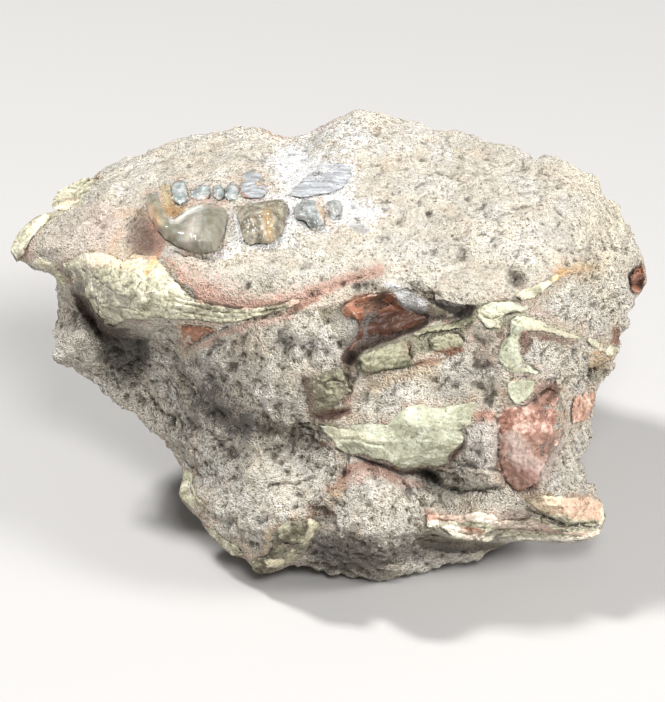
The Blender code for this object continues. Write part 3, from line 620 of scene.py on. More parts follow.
print("strokes:", len(CRACKS) + len(LEDGES) + len(PLATES) + len(LAYERED) + len(ROUND_PITS))

# %% [markdown]
# ## The siltstone block
# The CAD block has a socket round each bone, which the real rock hasn't: stone lies tight against
# bone. So slightly swollen copies of the bones are sunk into their sockets and joined with the block,
# and a voxel remesh melts them together into one even skin. The copies of bones that lie flush with
# the rock are sunk least, so that it comes up to their faces. A boolean union would close the sockets
# too, but its long thin faces couldn't be carved.

# %% Names of the bones and teeth
TEETH = [
    "front_tooth", "second_tooth", "third_tooth", "back_tooth", "tooth_blade", "cusp_left",
    "cusp_middle", "cusp_right",
]
FAR_BONES = ["crest_bone", "roof_bone", "far_cheek_bone", "ear_bone", "neck_bone"]
NEAR_BONES = [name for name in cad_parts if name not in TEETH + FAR_BONES + ["matrix"]]
ALL_BONES = NEAR_BONES + TEETH + FAR_BONES
FLUSH_BONES = [
    "arch_bone", "arch_tile", "arch_strip", "temple_bone", "temple_splint", "temple_hook",
    "inner_jaw_bone", "skull_bone", "side_bone", "cheek_scrap", "orbit_bone", "splinter_leaf",
    "splinter_round", "temple_scale", "rim_bone_upper", "rim_bone_lower",
]
print("bones and teeth:", len(ALL_BONES))

# %% Copies that fill the sockets
SWOLLEN = 0.20 * MM
TOOTH_SUNK = 1.10
FLUSH_SUNK = 0.36
SUNK = 0.60


def how_sunk(node):
    """How far a socket's filler is pushed in, in mm."""
    if node in TEETH:
        return TOOTH_SUNK
    return FLUSH_SUNK if node in FLUSH_BONES + FAR_BONES else SUNK


def sunk_copy(node):
    """A swollen copy of a bone, pushed a little way into its socket."""
    filler = merged_copy(node, "socket_filler")
    apply_modifier(filler, "DISPLACE", strength=SWOLLEN, mid_level=0.0)
    inwards = OUT if node in FAR_BONES else -OUT
    move_points(filler, points_of(filler) + inwards * how_sunk(node) * MM)
    return filler


# %% Join and remesh
BLOCK_VOXEL = 0.41 * MM
SMOOTHING = 0.5
BLOCK_SMOOTHED = 5

block = merged_copy("matrix", "siltstone_block")
fillers = [sunk_copy(node) for node in ALL_BONES if node != "snout_flake"]
pick(block)
for filler in fillers:
    filler.select_set(True)
bpy.ops.object.join()
apply_modifier(block, "REMESH", mode="VOXEL", voxel_size=BLOCK_VOXEL)
apply_modifier(block, "SMOOTH", factor=SMOOTHING, iterations=BLOCK_SMOOTHED)
print("block after the remesh:", len(block.data.polygons), "faces")

# %% [markdown]
# ### A finer mesh where it is looked at
# A thin crack needs faces smaller than itself, but a whole block so fine would be too heavy to use.
# So the side that is studied is divided once, and the part of it near a crack, a ledge or a bone is
# divided again, for as long as triangles are left to spend. The back stays coarse. A finer remesh of
# everything would be simpler, and would spend most of its faces where nobody looks.

# %% How near the bones are
FAR_FROM_BONE = 2.0


def bone_skin():
    """One search tree of all the bones and teeth, for finding how near they are."""
    corners = []
    faces = []
    for node in ALL_BONES:
        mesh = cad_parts[node].data
        faces += [[index + len(corners) for index in face.vertices] for face in mesh.polygons]
        corners += [vertex.co.copy() for vertex in mesh.vertices]
    return BVHTree.FromPolygons(corners, faces)


skin = bone_skin()


def bone_distance(points):
    """How far each point is from the nearest bone, in mm, and at most FAR_FROM_BONE."""
    found = (skin.find_nearest(Vector(point), FAR_FROM_BONE * MM)[3] for point in points)
    return np.array([FAR_FROM_BONE if away is None else away / MM for away in found])


# %% Which faces need a finer mesh
STROKE_MARGIN = 14
BONE_HANDICAP = 2
TURNED_AWAY = 1000
LEAST_TURNED = 0.1


def dullness(centres, normals):
    """How far each face is from anything that needs a finer mesh, in pixels."""
    spots = seen_at(centres)
    nearest = bone_distance(centres) * PIXELS_PER_MM + BONE_HANDICAP
    for path in [stroke[0] for stroke in [*CRACKS.values(), *LEDGES.values()]]:
        near = box_near(spots, path, STROKE_MARGIN)
        nearest[near] = np.minimum(nearest[near], to_path(spots[near], path)[0])
    for outline, _, _ in PLATES.values():
        near = box_near(spots, outline, STROKE_MARGIN)
        nearest[near] = np.minimum(nearest[near], np.abs(inside(spots[near], outline)))
    return nearest + np.where(normals @ OUT > LEAST_TURNED, 0, TURNED_AWAY)


# %% Divide the studied side once, and round its cracks, ledges and bones twice
TRIANGLE_LIMIT = 196000
TRIANGLES_A_DIVIDED_FACE = 8
STUDIED_SIDE = 0.05
DIVIDED_SMOOTHED = 2


def triangles_in(piece):
    """How many triangles a mesh comes to, its larger faces being cut into triangles."""
    return sum(len(face.vertices) - 2 for face in piece.data.polygons)


def divide(piece, chosen):
    """Subdivide the chosen faces, each into four."""
    pick(piece)
    bpy.ops.object.mode_set(mode="EDIT")
    bpy.ops.mesh.select_mode(type="FACE")
    bpy.ops.mesh.select_all(action="DESELECT")
    bpy.ops.object.mode_set(mode="OBJECT")
    piece.data.polygons.foreach_set("select", chosen)
    bpy.ops.object.mode_set(mode="EDIT")
    bpy.ops.mesh.subdivide(number_cuts=1)
    bpy.ops.object.mode_set(mode="OBJECT")


divide(block, read_numbers(block.data.polygons, "normal") @ OUT > STUDIED_SIDE)
faces = block.data.polygons
room = (TRIANGLE_LIMIT - triangles_in(block)) // TRIANGLES_A_DIVIDED_FACE
order = np.argsort(dullness(read_numbers(faces, "center"), read_numbers(faces, "normal")))
chosen = np.zeros(len(faces), bool)
chosen[order[:room]] = True
divide(block, chosen)
apply_modifier(block, "SMOOTH", factor=SMOOTHING, iterations=DIVIDED_SMOOTHED)
print("block after dividing:", triangles_in(block), "triangles")

# %% [markdown]
# ### Giving the rock its roughness
# The palate side is evenly fine and sandy. The flank and the lobe below it are lumpier, and full of
# small pits where grains have dropped out. Lumps of several sizes are laid over each other, weighted
# by how rough each region is. One noise for the whole block would make every side look the same.

# %% Rough regions: outline, how much lumpier they are, width of the change
ROUGH_REGIONS = {
    "flank": (
        [(160, 345), (250, 322), (330, 320), (360, 380), (330, 440), (250, 470), (200, 470),
         (110, 400), (90, 330)], 0.9, 2.5),
    "keel": ([(200, 470), (320, 440), (345, 470), (320, 560), (260, 570), (200, 520)], 0.5, 2.0),
    "lobe": ([(320, 470), (440, 480), (425, 570), (330, 580), (300, 540)], 0.9, 1.5),
    "temple": ([(440, 330), (620, 320), (610, 420), (450, 420)], 0.7, 2.0),
    "low_right": ([(420, 430), (600, 430), (600, 500), (430, 500)], 0.8, 1.5),
    "upper_right": (
        [(430, 150), (560, 150), (640, 250), (620, 320), (480, 280), (400, 220)], 0.45, 3.0),
    "right_wall": (
        [(560, 250), (640, 250), (640, 320), (610, 420), (605, 500), (560, 500), (570, 380)], 0.8,
         2.0),
    "knob": ([(44, 310), (76, 305), (96, 330), (96, 365), (60, 368), (44, 350)], 0.5, 1.0),
}
PALATE_ROUGHNESS = 0.95


def roughness_at(spots):
    """How lumpy the rock is here: PALATE_ROUGHNESS, and more inside the rough regions."""
    amount = np.full(len(spots), PALATE_ROUGHNESS)
    for outline, more, soft in ROUGH_REGIONS.values():
        amount += plate(spots, outline, more, soft)
    return amount


def pushed(points, way, distances):
    """The points, each moved this way by its own distance in mm."""
    return points + way * (distances * MM)[:, None]


# %% Lumps: size and height in mm, and for the larger ones the octaves of noise
LUMPS = ((3.6, 0.26, 3), (1.6, 0.20, 3), (0.6, 0.10, 2))
CRUMBS = ((1.1, 0.10), (0.5, 0.06))
CRUMB_SEED = 50
CALM = 0.9
CALMEST = 0.2

points = points_of(block)
normals = normals_of(block)
facing = normals @ OUT
lumpy = roughness_at(seen_at(points))
to_bone = bone_distance(points)
calm = np.clip(to_bone / CALM, CALMEST, 1)
for lump, high, octaves in LUMPS:
    points = pushed(points, normals, rough(points, lump, octaves, lump) * lumpy * calm * high)
for lump, high in CRUMBS:
    crumbs = billowed(points, lump, CRUMB_SEED + lump)
    points = pushed(points, normals, crumbs * lumpy * calm * high)
print("roughness from", round(lumpy.min(), 2), "to", round(lumpy.max(), 2))

# %% Cracks of the back, the strokes, and the thin gap round each bone
BACK_CRACKS = ((9.0, 0.30), (4.0, 0.12))
CROOKED = 1.2
CROOKED_NOISE = (3.0, 3, 57.0)
GAP_WIDE = 0.12
GAP_DEEP = 0.10
HALO_WIDE = 0.9

for cell, deep in BACK_CRACKS:
    crooked = points + CROOKED * MM * rough(points, *CROOKED_NOISE)[:, None]
    broken = crazed(crooked, cell, cell) * deep * calm * (1 - front_share(facing))
    points = pushed(points, -normals, broken)
points = pushed(points, OUT, carved(points, facing))
gap = np.clip(1 - to_bone / GAP_WIDE, 0, 1)
points = pushed(points, -OUT, gap * GAP_DEEP * front_share(facing))
points[:, 2] = np.maximum(points[:, 2], 0)
move_points(block, points)
write_number(block, "lumpy", lumpy)
write_number(block, "gap", gap)
write_number(block, "halo", np.clip(1 - to_bone / HALO_WIDE, 0, 1))
print("points in a gap beside a bone:", int((gap > 0).sum()))

# %% Pits of fallen grains
FALLEN_GRAINS = 900
LEAST_CHANCE = 0.3
GRAIN_SIZES = (0.14, 0.5)
MOSTLY_SMALL = 1.5
GRAIN_SCALE = 1.3
GRAIN_DEPTH = 0.45

maker = np.random.default_rng(11)
normals = normals_of(block)
chances = np.clip(lumpy, LEAST_CHANCE, None)
centres = maker.choice(len(points), FALLEN_GRAINS, replace=False, p=chances / chances.sum())
widths = maker.uniform(*GRAIN_SIZES, FALLEN_GRAINS) ** MOSTLY_SMALL * GRAIN_SCALE
for centre, wide in zip(centres, widths):
    away = np.linalg.norm(points - points[centre], axis=1) / (wide / 2 * MM)
    dug = np.flatnonzero(away < 1)
    depth = GRAIN_DEPTH * wide * (1 - away[dug] ** 2) * MM
    points[dug] -= normals[centre] * depth[:, None]
points[:, 2] = np.maximum(points[:, 2], 0)
move_points(block, points)
print("pits, in mm:", round(widths.min(), 2), "to", round(widths.max(), 2), "wide")

# %% [markdown]
# ## Bones
# Each bone is a thin plate let into the rock. A copy of its CAD solid is remeshed at less than a
# tenth of a millimetre and smoothed, which rounds its cut edges as weather does. Then it is chipped,
# and the same strokes run across it, so that a crack in the rock carries on through the bone. Bones
# of the far side, which the strokes don't reach, are only chipped and set a hair deeper.

# %% Wear, in mm: roundish dents, flaked layers, fine cracks, ragged outline
FLAKY_WEAR = (0.03, 0.09, 0.13, 0.16)
SMOOTH_WEAR = (0.03, 0.03, 0.04, 0.16)
SOFT_WEAR = (0.10, 0.05, 0.02, 0.16)
CUSP_WEAR = (0.05, 0.06, 0, 0.18)
CROWN_WEAR = (0.03, 0, 0, 0.06)
WEAR = {
    "palate_plate": SMOOTH_WEAR, "temple_scale": SMOOTH_WEAR, "splinter_leaf": SMOOTH_WEAR,
    "splinter_round": SMOOTH_WEAR, "orbit_bone": SMOOTH_WEAR, "skull_bone": SOFT_WEAR,
    "side_bone": SOFT_WEAR, "cheek_scrap": SOFT_WEAR, "crest_bone": SOFT_WEAR,
}

# %% Noises of wear: size in mm, octaves or steps, and the seed
BITES = (0.9, 3, 5.0)
DENTS = (1.3, 2, 9.0)
FLAKES = (1.6, 2.5, 3.0)
CRUMBLED = (0.5, 21.0)
WAVERING = (0.6, 2, 31.0)
CRAZING = (1.3, 7.0)
BITE_INWARDS = 0.2
CRACK_WAVER = 0.2


def weather(piece, dented, flaked, cracked, ragged):
    """Chip a bone by these four amounts."""
    points = points_of(piece)
    normals = normals_of(piece)
    rim = np.clip(1 - np.abs(normals @ OUT), 0, 1)
    bite = (rough(points, *BITES) - BITE_INWARDS) * rim * ragged
    dents = rough(points, *DENTS) * dented + stepped(points, *FLAKES) * flaked
    dents += billowed(points, *CRUMBLED) * dented
    wavering = points + CRACK_WAVER * MM * rough(points, *WAVERING)[:, None]
    dents -= crazed(wavering, *CRAZING) * cracked
    move_points(piece, pushed(points, normals, bite + dents))


# %% Worn copies of the bones
BONE_VOXEL = 0.08
BONE_SMOOTHED = 2
LOWERED = 0.02 * MM
FAR_LOWERED = 0.04 * MM


def fine_copy(node, voxel, smoothed):
    """A copy of a CAD bone, remeshed into small even faces and smoothed this many times."""
    piece = merged_copy(node, "worn_" + node)
    apply_modifier(piece, "REMESH", mode="VOXEL", voxel_size=voxel * MM)
    apply_modifier(piece, "SMOOTH", factor=SMOOTHING, iterations=smoothed)
    return piece


def carve(piece):
    """Run the shared strokes across a bone."""
    points = points_of(piece)
    move_points(piece, pushed(points, OUT, carved(points, normals_of(piece) @ OUT)))


bones = {}
for node in NEAR_BONES + FAR_BONES:
    bone = fine_copy(node, BONE_VOXEL, BONE_SMOOTHED)
    weather(bone, *WEAR.get(node, FLAKY_WEAR))
    if node in FAR_BONES:
        move_points(bone, points_of(bone) + OUT * FAR_LOWERED)
    else:
        carve(bone)
    if node in FLUSH_BONES:
        move_points(bone, points_of(bone) - OUT * LOWERED)
    bones[node] = bone
print("bones:", len(bones), "pieces,", sum(len(b.data.polygons) for b in bones.values()), "faces")
print("most triangles in a bone:", max(triangles_in(bone) for bone in bones.values()))

# %% [markdown]
# ## Teeth
# The front molar shows one broad enamel face that folds in a shallow valley, with fine growth lines
# that spread from its top. The second is wrinkled, with a seam down its middle, and the small ones
# are worn cusps. Their folds are strokes too, but drawn on the teeth alone. A crown is domed first,
# by how far each point lies inside its outline, since a flat tooth with lines on it looks like a tile.

# %% Folds of the teeth: path, width, depth
TOOTH_LINES = {
    "front_valley": ([(188, 222), (184, 232), (180, 246)], 0.9, 0.22),
    "front_notch": ([(168, 214), (176, 221), (188, 214), (200, 206)], 0.35, 0.15),
    "front_line_one": ([(203, 206), (202, 228), (201, 251)], 0.4, 0.14),
    "front_line_two": ([(204, 206), (209, 228), (211, 251)], 0.22, 0.08),
    "front_line_three": ([(208, 206), (216, 226), (219, 246)], 0.22, 0.07),
    "front_line_four": ([(196, 207), (194, 230), (192, 250)], 0.2, 0.05),
    "second_seam": ([(265, 206), (267, 220), (270, 242)], 0.25, 0.1),
    "second_fold_one": ([(245, 216), (250, 224), (249, 238)], 0.45, 0.18),
    "second_fold_two": ([(254, 208), (258, 220), (258, 240)], 0.4, 0.16),
    "second_fold_three": ([(277, 206), (280, 218), (276, 234)], 0.4, 0.16),
    "second_cross": ([(240, 228), (256, 231), (284, 224)], 0.35, 0.12),
    "third_fold_one": ([(304, 206), (308, 216), (312, 227)], 0.35, 0.16),
    "third_fold_two": ([(296, 214), (308, 213), (322, 208)], 0.3, 0.14),
    "third_fold_three": ([(315, 204), (318, 216), (316, 226)], 0.3, 0.12),
    "back_fold": ([(335, 199), (334, 208), (337, 216)], 0.3, 0.14),
    "blade_line": ([(178, 188), (180, 196), (182, 204)], 0.2, 0.08),
}

# %% Domes of the crowns: outline, height, and width of the rounded border in pixels
TOOTH_DOMES = {
    "front_body": (
        [(176, 219), (186, 210), (193, 205), (204, 203), (216, 205), (226, 210), (226, 224),
         (221, 240), (216, 252), (202, 253), (188, 249), (176, 244), (168, 236), (168, 226)], 0.55,
         14),
    "front_horn": (
        [(147, 191), (158, 192), (161, 200), (167, 210), (171, 219), (180, 228), (172, 242),
         (160, 232), (152, 218), (146, 204)], 0.4, 9),
    "second": (
        [(237, 206), (246, 202), (258, 201), (269, 194), (281, 195), (289, 206), (286, 226),
         (278, 240), (268, 246), (250, 246), (242, 238), (237, 224)], 0.6, 16),
    "third": (
        [(292, 212), (301, 200), (312, 198), (321, 206), (326, 220), (320, 228), (313, 231),
         (304, 224), (296, 218)], 0.5, 10),
    "back": ([(328, 199), (340, 198), (342, 208), (340, 218), (330, 216)], 0.4, 7),
}

# %% Doming, folding and wrinkling a tooth
TOOTH_RAGGED = (0.6, 0.5)
TOOTH_LOWERED = 0.25
WRINKLE_NOISES = ((0.6, 3.0), (0.25, 8.0))


def fold(piece):
    """Dome the crowns of the teeth, then carve their folds and growth lines."""
    points = points_of(piece)
    facing = normals_of(piece) @ OUT
    spots = shaken(seen_at(points), points, *TOOTH_RAGGED)
    lift = sum(groove(spots, path, wide, deep) for path, wide, deep in TOOTH_LINES.values())
    crown = np.zeros(len(points))
    for outline, high, wide in TOOTH_DOMES.values():
        into = np.clip(inside(spots, outline) / wide, 0, 1)
        crown = np.maximum(crown, high * (1 - (1 - into) ** 2))
    lift += crown - TOOTH_LOWERED
    move_points(piece, pushed(points, OUT, lift * front_share(facing)))


def wrinkle(piece, high):
    """Cover a tooth with round wrinkles of two sizes."""
    points = points_of(piece)
    wrinkles = sum(billowed(points, *sizes) for sizes in WRINKLE_NOISES) * high
    move_points(piece, pushed(points, OUT, wrinkles))


# %% Worn copies of the teeth
TOOTH_VOXEL = 0.06
TOOTH_SMOOTHED = 4
CUSP_SWELL = 0.14 * MM
CUSPS = ("tooth_blade", "cusp_left", "cusp_middle", "cusp_right")
SLEEK_TEETH = ("front_tooth", "tooth_blade")
SLEEK_WRINKLES = 0.01
WRINKLES = 0.05

teeth = {}
for node in TEETH:
    tooth = fine_copy(node, TOOTH_VOXEL, TOOTH_SMOOTHED)
    if node in CUSPS:
        apply_modifier(tooth, "DISPLACE", strength=CUSP_SWELL, mid_level=0.0)
    weather(tooth, *(CUSP_WEAR if node in CUSPS else CROWN_WEAR))
    fold(tooth)
    wrinkle(tooth, SLEEK_WRINKLES if node in SLEEK_TEETH else WRINKLES)
    teeth[node] = tooth
print("teeth:", len(teeth), "pieces,", sum(len(t.data.polygons) for t in teeth.values()), "faces")

# %% [markdown]
# ## Stains
# Iron has stained the rock and the bone salmon, rust and umber in places, and the preparator's
# fine white dust lies round the teeth. Each stain is a drawn patch in one of a few named tones, with
# a soft edge. Some patches are painted shade and painted light instead: dark ones in hollows, under
# overhangs and along the front tooth's fold stand in for shadow, and pale ones on the front tooth,
# under the brow and on the shelf's front stand in for light. Each patch is kept on the mesh as a
# colour with its strength, and the material breaks that edge up with noise, so that it looks soaked in
# and not painted on. A painted image could do the same, but would tie the look to one unwrapped mesh.

# %% Tones
SCREEN_KNEE = 0.04045


def tone(red, green, blue):
    """A colour as a paint mixer reads it off a screen, 0 to 255, turned into linear light."""
    shares = np.array((red, green, blue)) / 255
    return np.where(shares <= SCREEN_KNEE, shares / 12.92, ((shares + 0.055) / 1.055) ** 2.4)


# The tones shade, dusk and night are painted shade: patches in them stand in for shadow. One
# near-white tone is a painted highlight.
TONES = {
    "stone": tone(214, 204, 190), "chalk": tone(250, 250, 250), "salmon": tone(206, 160, 141),
    "rose": tone(220, 186, 170), "rust": tone(150, 104, 82), "umber": tone(86, 60, 49),
    "ochre": tone(222, 176, 122), "cream": tone(238, 230, 198), "ash": tone(150, 144, 136),
    "dusk": tone(118, 110, 102), "olive": tone(154, 146, 124), "plum": tone(128, 94, 80),
    "highlight_white": tone(246, 246, 242), "blush": tone(238, 224, 210), "sand": tone(226, 204, 172),
    "night": tone(52, 42, 36), "amber": tone(206, 164, 104), "pistachio": tone(206, 204, 178),
    "ivory": tone(252, 246, 230), "frost": tone(226, 217, 208), "peach": tone(210, 172, 148),
    "shade": tone(88, 82, 75), "sage": tone(158, 155, 130), "wheat": tone(200, 184, 154),
    "brick": tone(180, 130, 110), "buff": tone(240, 229, 206),
}
print("tones:", len(TONES))

# %% Stains and painted light and shade round the tooth row: tone, strength, softness of the edge, outline
STAINS_AND_PAINTED_SHADING = {
    "tooth_row_dust": ("chalk", 0.8, 1.6, [
        (278, 145), (300, 140), (320, 155), (350, 160), (362, 170), (352, 195), (385, 205),
        (392, 215), (370, 226), (345, 228), (325, 235), (300, 232), (290, 245), (262, 252),
        (240, 250), (226, 262), (214, 258), (232, 240), (232, 215), (262, 196), (284, 190),
        (268, 170), (262, 158)]),
    "dentine": ("amber", 0.85, 0.4, [
        (160, 184), (168, 186), (173, 202), (180, 209), (186, 207), (176, 219), (168, 216),
        (162, 204)]),
    "dentine_light": ("cream", 0.9, 0.5, [
        (160, 184), (168, 186), (171, 198), (168, 206), (163, 198)]),
    "dentine_dark": ("rust", 0.7, 0.3, [
        (168, 206), (174, 206), (181, 211), (174, 219), (168, 214)]),
    # Painted light and shade on the front tooth: a painted highlight on the bevel of its ridge, and
    # painted light and painted shade on either side of its fold.
    "ridge_highlight": ("highlight_white", 1.0, 0.3, [
        (170, 218), (176, 219), (186, 210), (201, 204), (202, 208), (190, 213), (178, 223),
        (171, 222)]),
    "valley_painted_light": ("frost", 0.6, 0.8, [
        (192, 218), (198, 216), (194, 232), (190, 246), (182, 243), (186, 230)]),
    "valley_painted_shade": ("ash", 0.5, 0.6, [
        (199, 208), (205, 206), (204, 228), (203, 250), (198, 250), (200, 228)]),
    "tooth_gap": ("ochre", 0.8, 0.4, [
        (315, 198), (322, 198), (326, 210), (332, 224), (328, 227), (322, 216)]),
    "cusp_rock": ("rose", 0.6, 0.4, [
        (187, 194), (196, 200), (210, 196), (222, 200), (230, 203), (224, 208), (206, 205),
        (190, 204)]),
    "horn_amber": ("amber", 0.5, 0.6, [
        (147, 206), (152, 204), (158, 214), (162, 224), (156, 226), (149, 216)]),
    "second_amber": ("amber", 0.55, 0.5, [
        (264, 210), (269, 210), (272, 226), (272, 241), (266, 240), (265, 224)]),
    "grey_sliver": ("ash", 0.7, 0.3, [(349, 225), (358, 224), (370, 230), (364, 234), (354, 231)]),
    "splinter_arc": ("rust", 0.8, 0.25, [
        (238, 183), (243, 191), (251, 198), (258, 199), (265, 195), (266, 198), (258, 202),
        (249, 201), (240, 194), (236, 186)]),
    "far_dust": ("chalk", 0.5, 1.0, [
        (300, 128), (330, 118), (362, 122), (380, 140), (350, 152), (318, 148)]),
    "back_dust": ("chalk", 0.45, 0.8, [(425, 140), (445, 138), (458, 155), (445, 166), (430, 160)]),
    "snout_dust": ("chalk", 0.5, 0.5, [(115, 186), (125, 184), (128, 194), (118, 197)]),
}

# %% [markdown]
# ### The snout and the cheek
# A tooth has dropped out at the front and left a plum-coloured pit. The snout's bone is blushed
# and streaked with ochre, and its broken rims are clean cream.

# %% Stains of the snout and the cheek
STAINS_AND_PAINTED_SHADING |= {
    "lost_tooth": ("plum", 0.85, 0.7, [
        (143, 211), (132, 221), (127, 239), (130, 255), (150, 257), (159, 250), (161, 239),
        (154, 226)]),
    "lost_tooth_rim": ("salmon", 0.8, 0.4, [
        (148, 207), (160, 232), (166, 243), (160, 256), (150, 258), (156, 243), (148, 226)]),
    "snout_streak_one": ("ochre", 0.8, 0.4, [
        (122, 227), (119, 240), (111, 256), (108, 250), (115, 234)]),
    "snout_streak_two": ("ochre", 0.7, 0.5, [
        (158, 250), (160, 262), (152, 272), (145, 281), (142, 274), (150, 262)]),
    "snout_streak_three": ("ochre", 0.5, 0.6, [(112, 213), (136, 208), (142, 214), (122, 219)]),
    "snout_rim": ("cream", 0.95, 0.25, [
        (26, 230), (48, 210), (63, 203), (80, 199), (83, 205), (64, 212), (50, 221), (30, 240)]),
    "snout_lip": ("cream", 1.0, 0.25, [
        (32, 264), (40, 258), (53, 263), (63, 276), (66, 288), (58, 284), (50, 270), (40, 268)]),
    "snout_flake_red": ("rust", 0.5, 0.3, [(62, 200), (72, 196), (78, 200), (70, 205), (60, 206)]),
    "cheek_ochre": ("sand", 0.6, 0.8, [
        (90, 250), (126, 246), (150, 256), (140, 275), (110, 270), (88, 264)]),
    "cheek_grey": ("ash", 0.5, 0.9, [
        (66, 268), (84, 264), (100, 268), (116, 284), (140, 296), (150, 306), (130, 318),
        (110, 318), (96, 304), (80, 290)]),
    "under_cheek": ("ash", 0.35, 0.5, [
        (104, 322), (130, 318), (157, 316), (178, 322), (186, 350), (170, 345), (150, 332),
        (120, 328)]),
    "snout_warm": ("blush", 0.7, 2.0, [
        (34, 240), (60, 216), (100, 196), (136, 196), (140, 214), (122, 250), (90, 262), (56, 262),
        (36, 254)]),
    "snout_blush": ("rose", 0.35, 1.2, [(90, 205), (125, 215), (120, 240), (100, 250), (85, 235)]),
    "snout_tip_blush": ("rose", 0.7, 0.5, [(22, 246), (32, 244), (34, 256), (28, 264), (20, 258)]),
}

# %% [markdown]
# ### The ridge and the eye socket
# Iron follows the broken brink below the tooth row as a salmon line. In the eye socket it has dried
# as a brown and orange glaze. The void under the brow is painted near black as its shadow, and the
# underside of the brow, which the lamps leave dark, is painted chalk-pale as light.

# %% Stains, painted shadow and painted light of the ridge and the eye socket
STAINS_AND_PAINTED_SHADING |= {
    "brink_salmon": ("salmon", 0.85, 0.35, [
        (161, 255), (170, 264), (181, 280), (195, 289), (206, 288), (214, 296), (222, 305),
        (244, 310), (262, 307), (290, 301), (297, 296), (280, 297), (262, 300), (244, 302),
        (228, 298), (214, 288), (196, 284), (182, 272), (170, 257)]),
    "brink_blush": ("rose", 0.55, 1.2, [
        (170, 255), (200, 262), (215, 272), (250, 290), (300, 290), (300, 300), (244, 308),
        (200, 300)]),
    "corner_salmon": ("salmon", 1.0, 0.4, [
        (193, 291), (205, 284), (214, 287), (215, 297), (222, 305), (206, 304), (196, 300)]),
    "red_band": ("salmon", 0.85, 0.6, [
        (292, 300), (300, 292), (318, 286), (341, 277), (368, 270), (380, 266), (384, 273),
        (372, 279), (341, 287), (318, 299), (300, 309), (288, 311)]),
    "red_band_halo": ("rose", 0.5, 1.3, [
        (270, 296), (310, 280), (350, 266), (385, 258), (390, 270), (340, 288), (300, 305)]),
    "red_band_dark": ("rust", 0.9, 0.3, [
        (296, 302), (312, 296), (318, 300), (304, 308), (292, 312)]),
    "orange_glaze": ("rust", 1.0, 0.25, [
        (343, 306), (354, 296), (377, 293), (389, 292), (397, 297), (401, 303), (396, 309),
        (388, 313), (377, 315), (361, 313), (349, 313)]),
    "olive_glaze": ("olive", 0.9, 0.4, [
        (318, 310), (330, 307), (343, 308), (346, 319), (356, 322), (356, 336), (346, 346),
        (338, 338), (332, 326), (320, 319)]),
    "brown_glaze": ("umber", 1.0, 0.35, [
        (357, 322), (368, 315), (391, 312), (405, 311), (419, 311), (428, 316), (424, 324),
        (410, 332), (396, 337), (382, 340), (368, 345), (358, 352), (344, 362), (348, 350),
        (357, 340)]),
    "brown_glaze_red": ("rust", 0.8, 0.4, [
        (400, 314), (418, 312), (424, 317), (414, 326), (398, 330), (392, 324)]),
    "glaze_dust": ("chalk", 0.8, 0.4, [
        (393, 291), (404, 291), (410, 300), (418, 307), (408, 313), (396, 318), (390, 315),
        (400, 305)]),
    # Painted light: the underside of the brow, which the lamps leave dark, is painted chalk-pale.
    "brow_underside_light": ("chalk", 0.75, 0.4, [
        (374, 283), (393, 281), (410, 290), (424, 299), (431, 308), (421, 314), (410, 304),
        (396, 292)]),
    # Painted shadow: the void under the brow is painted near black.
    "brow_void_shadow": ("night", 1.0, 0.2, [
        (424, 296), (439, 300), (460, 304), (478, 305), (476, 313), (462, 319), (452, 314),
        (438, 307), (428, 301)]),
    "orbit_umber": ("umber", 0.9, 0.4, [
        (320, 316), (340, 320), (352, 326), (346, 345), (340, 360), (352, 366), (364, 350),
        (400, 338), (428, 326), (428, 316), (404, 311), (372, 316), (350, 322), (330, 314)]),
    "orbit_flecks": ("chalk", 0.25, 0.8, [
        (330, 318), (352, 314), (388, 314), (410, 306), (420, 314), (396, 330), (360, 340),
        (346, 346)]),
}

# %% [markdown]
# ### The cheek arch and the inner jaw
# The arch lies in greenish rock and has rusty broken ends. Two plum lines border the inner jaw.

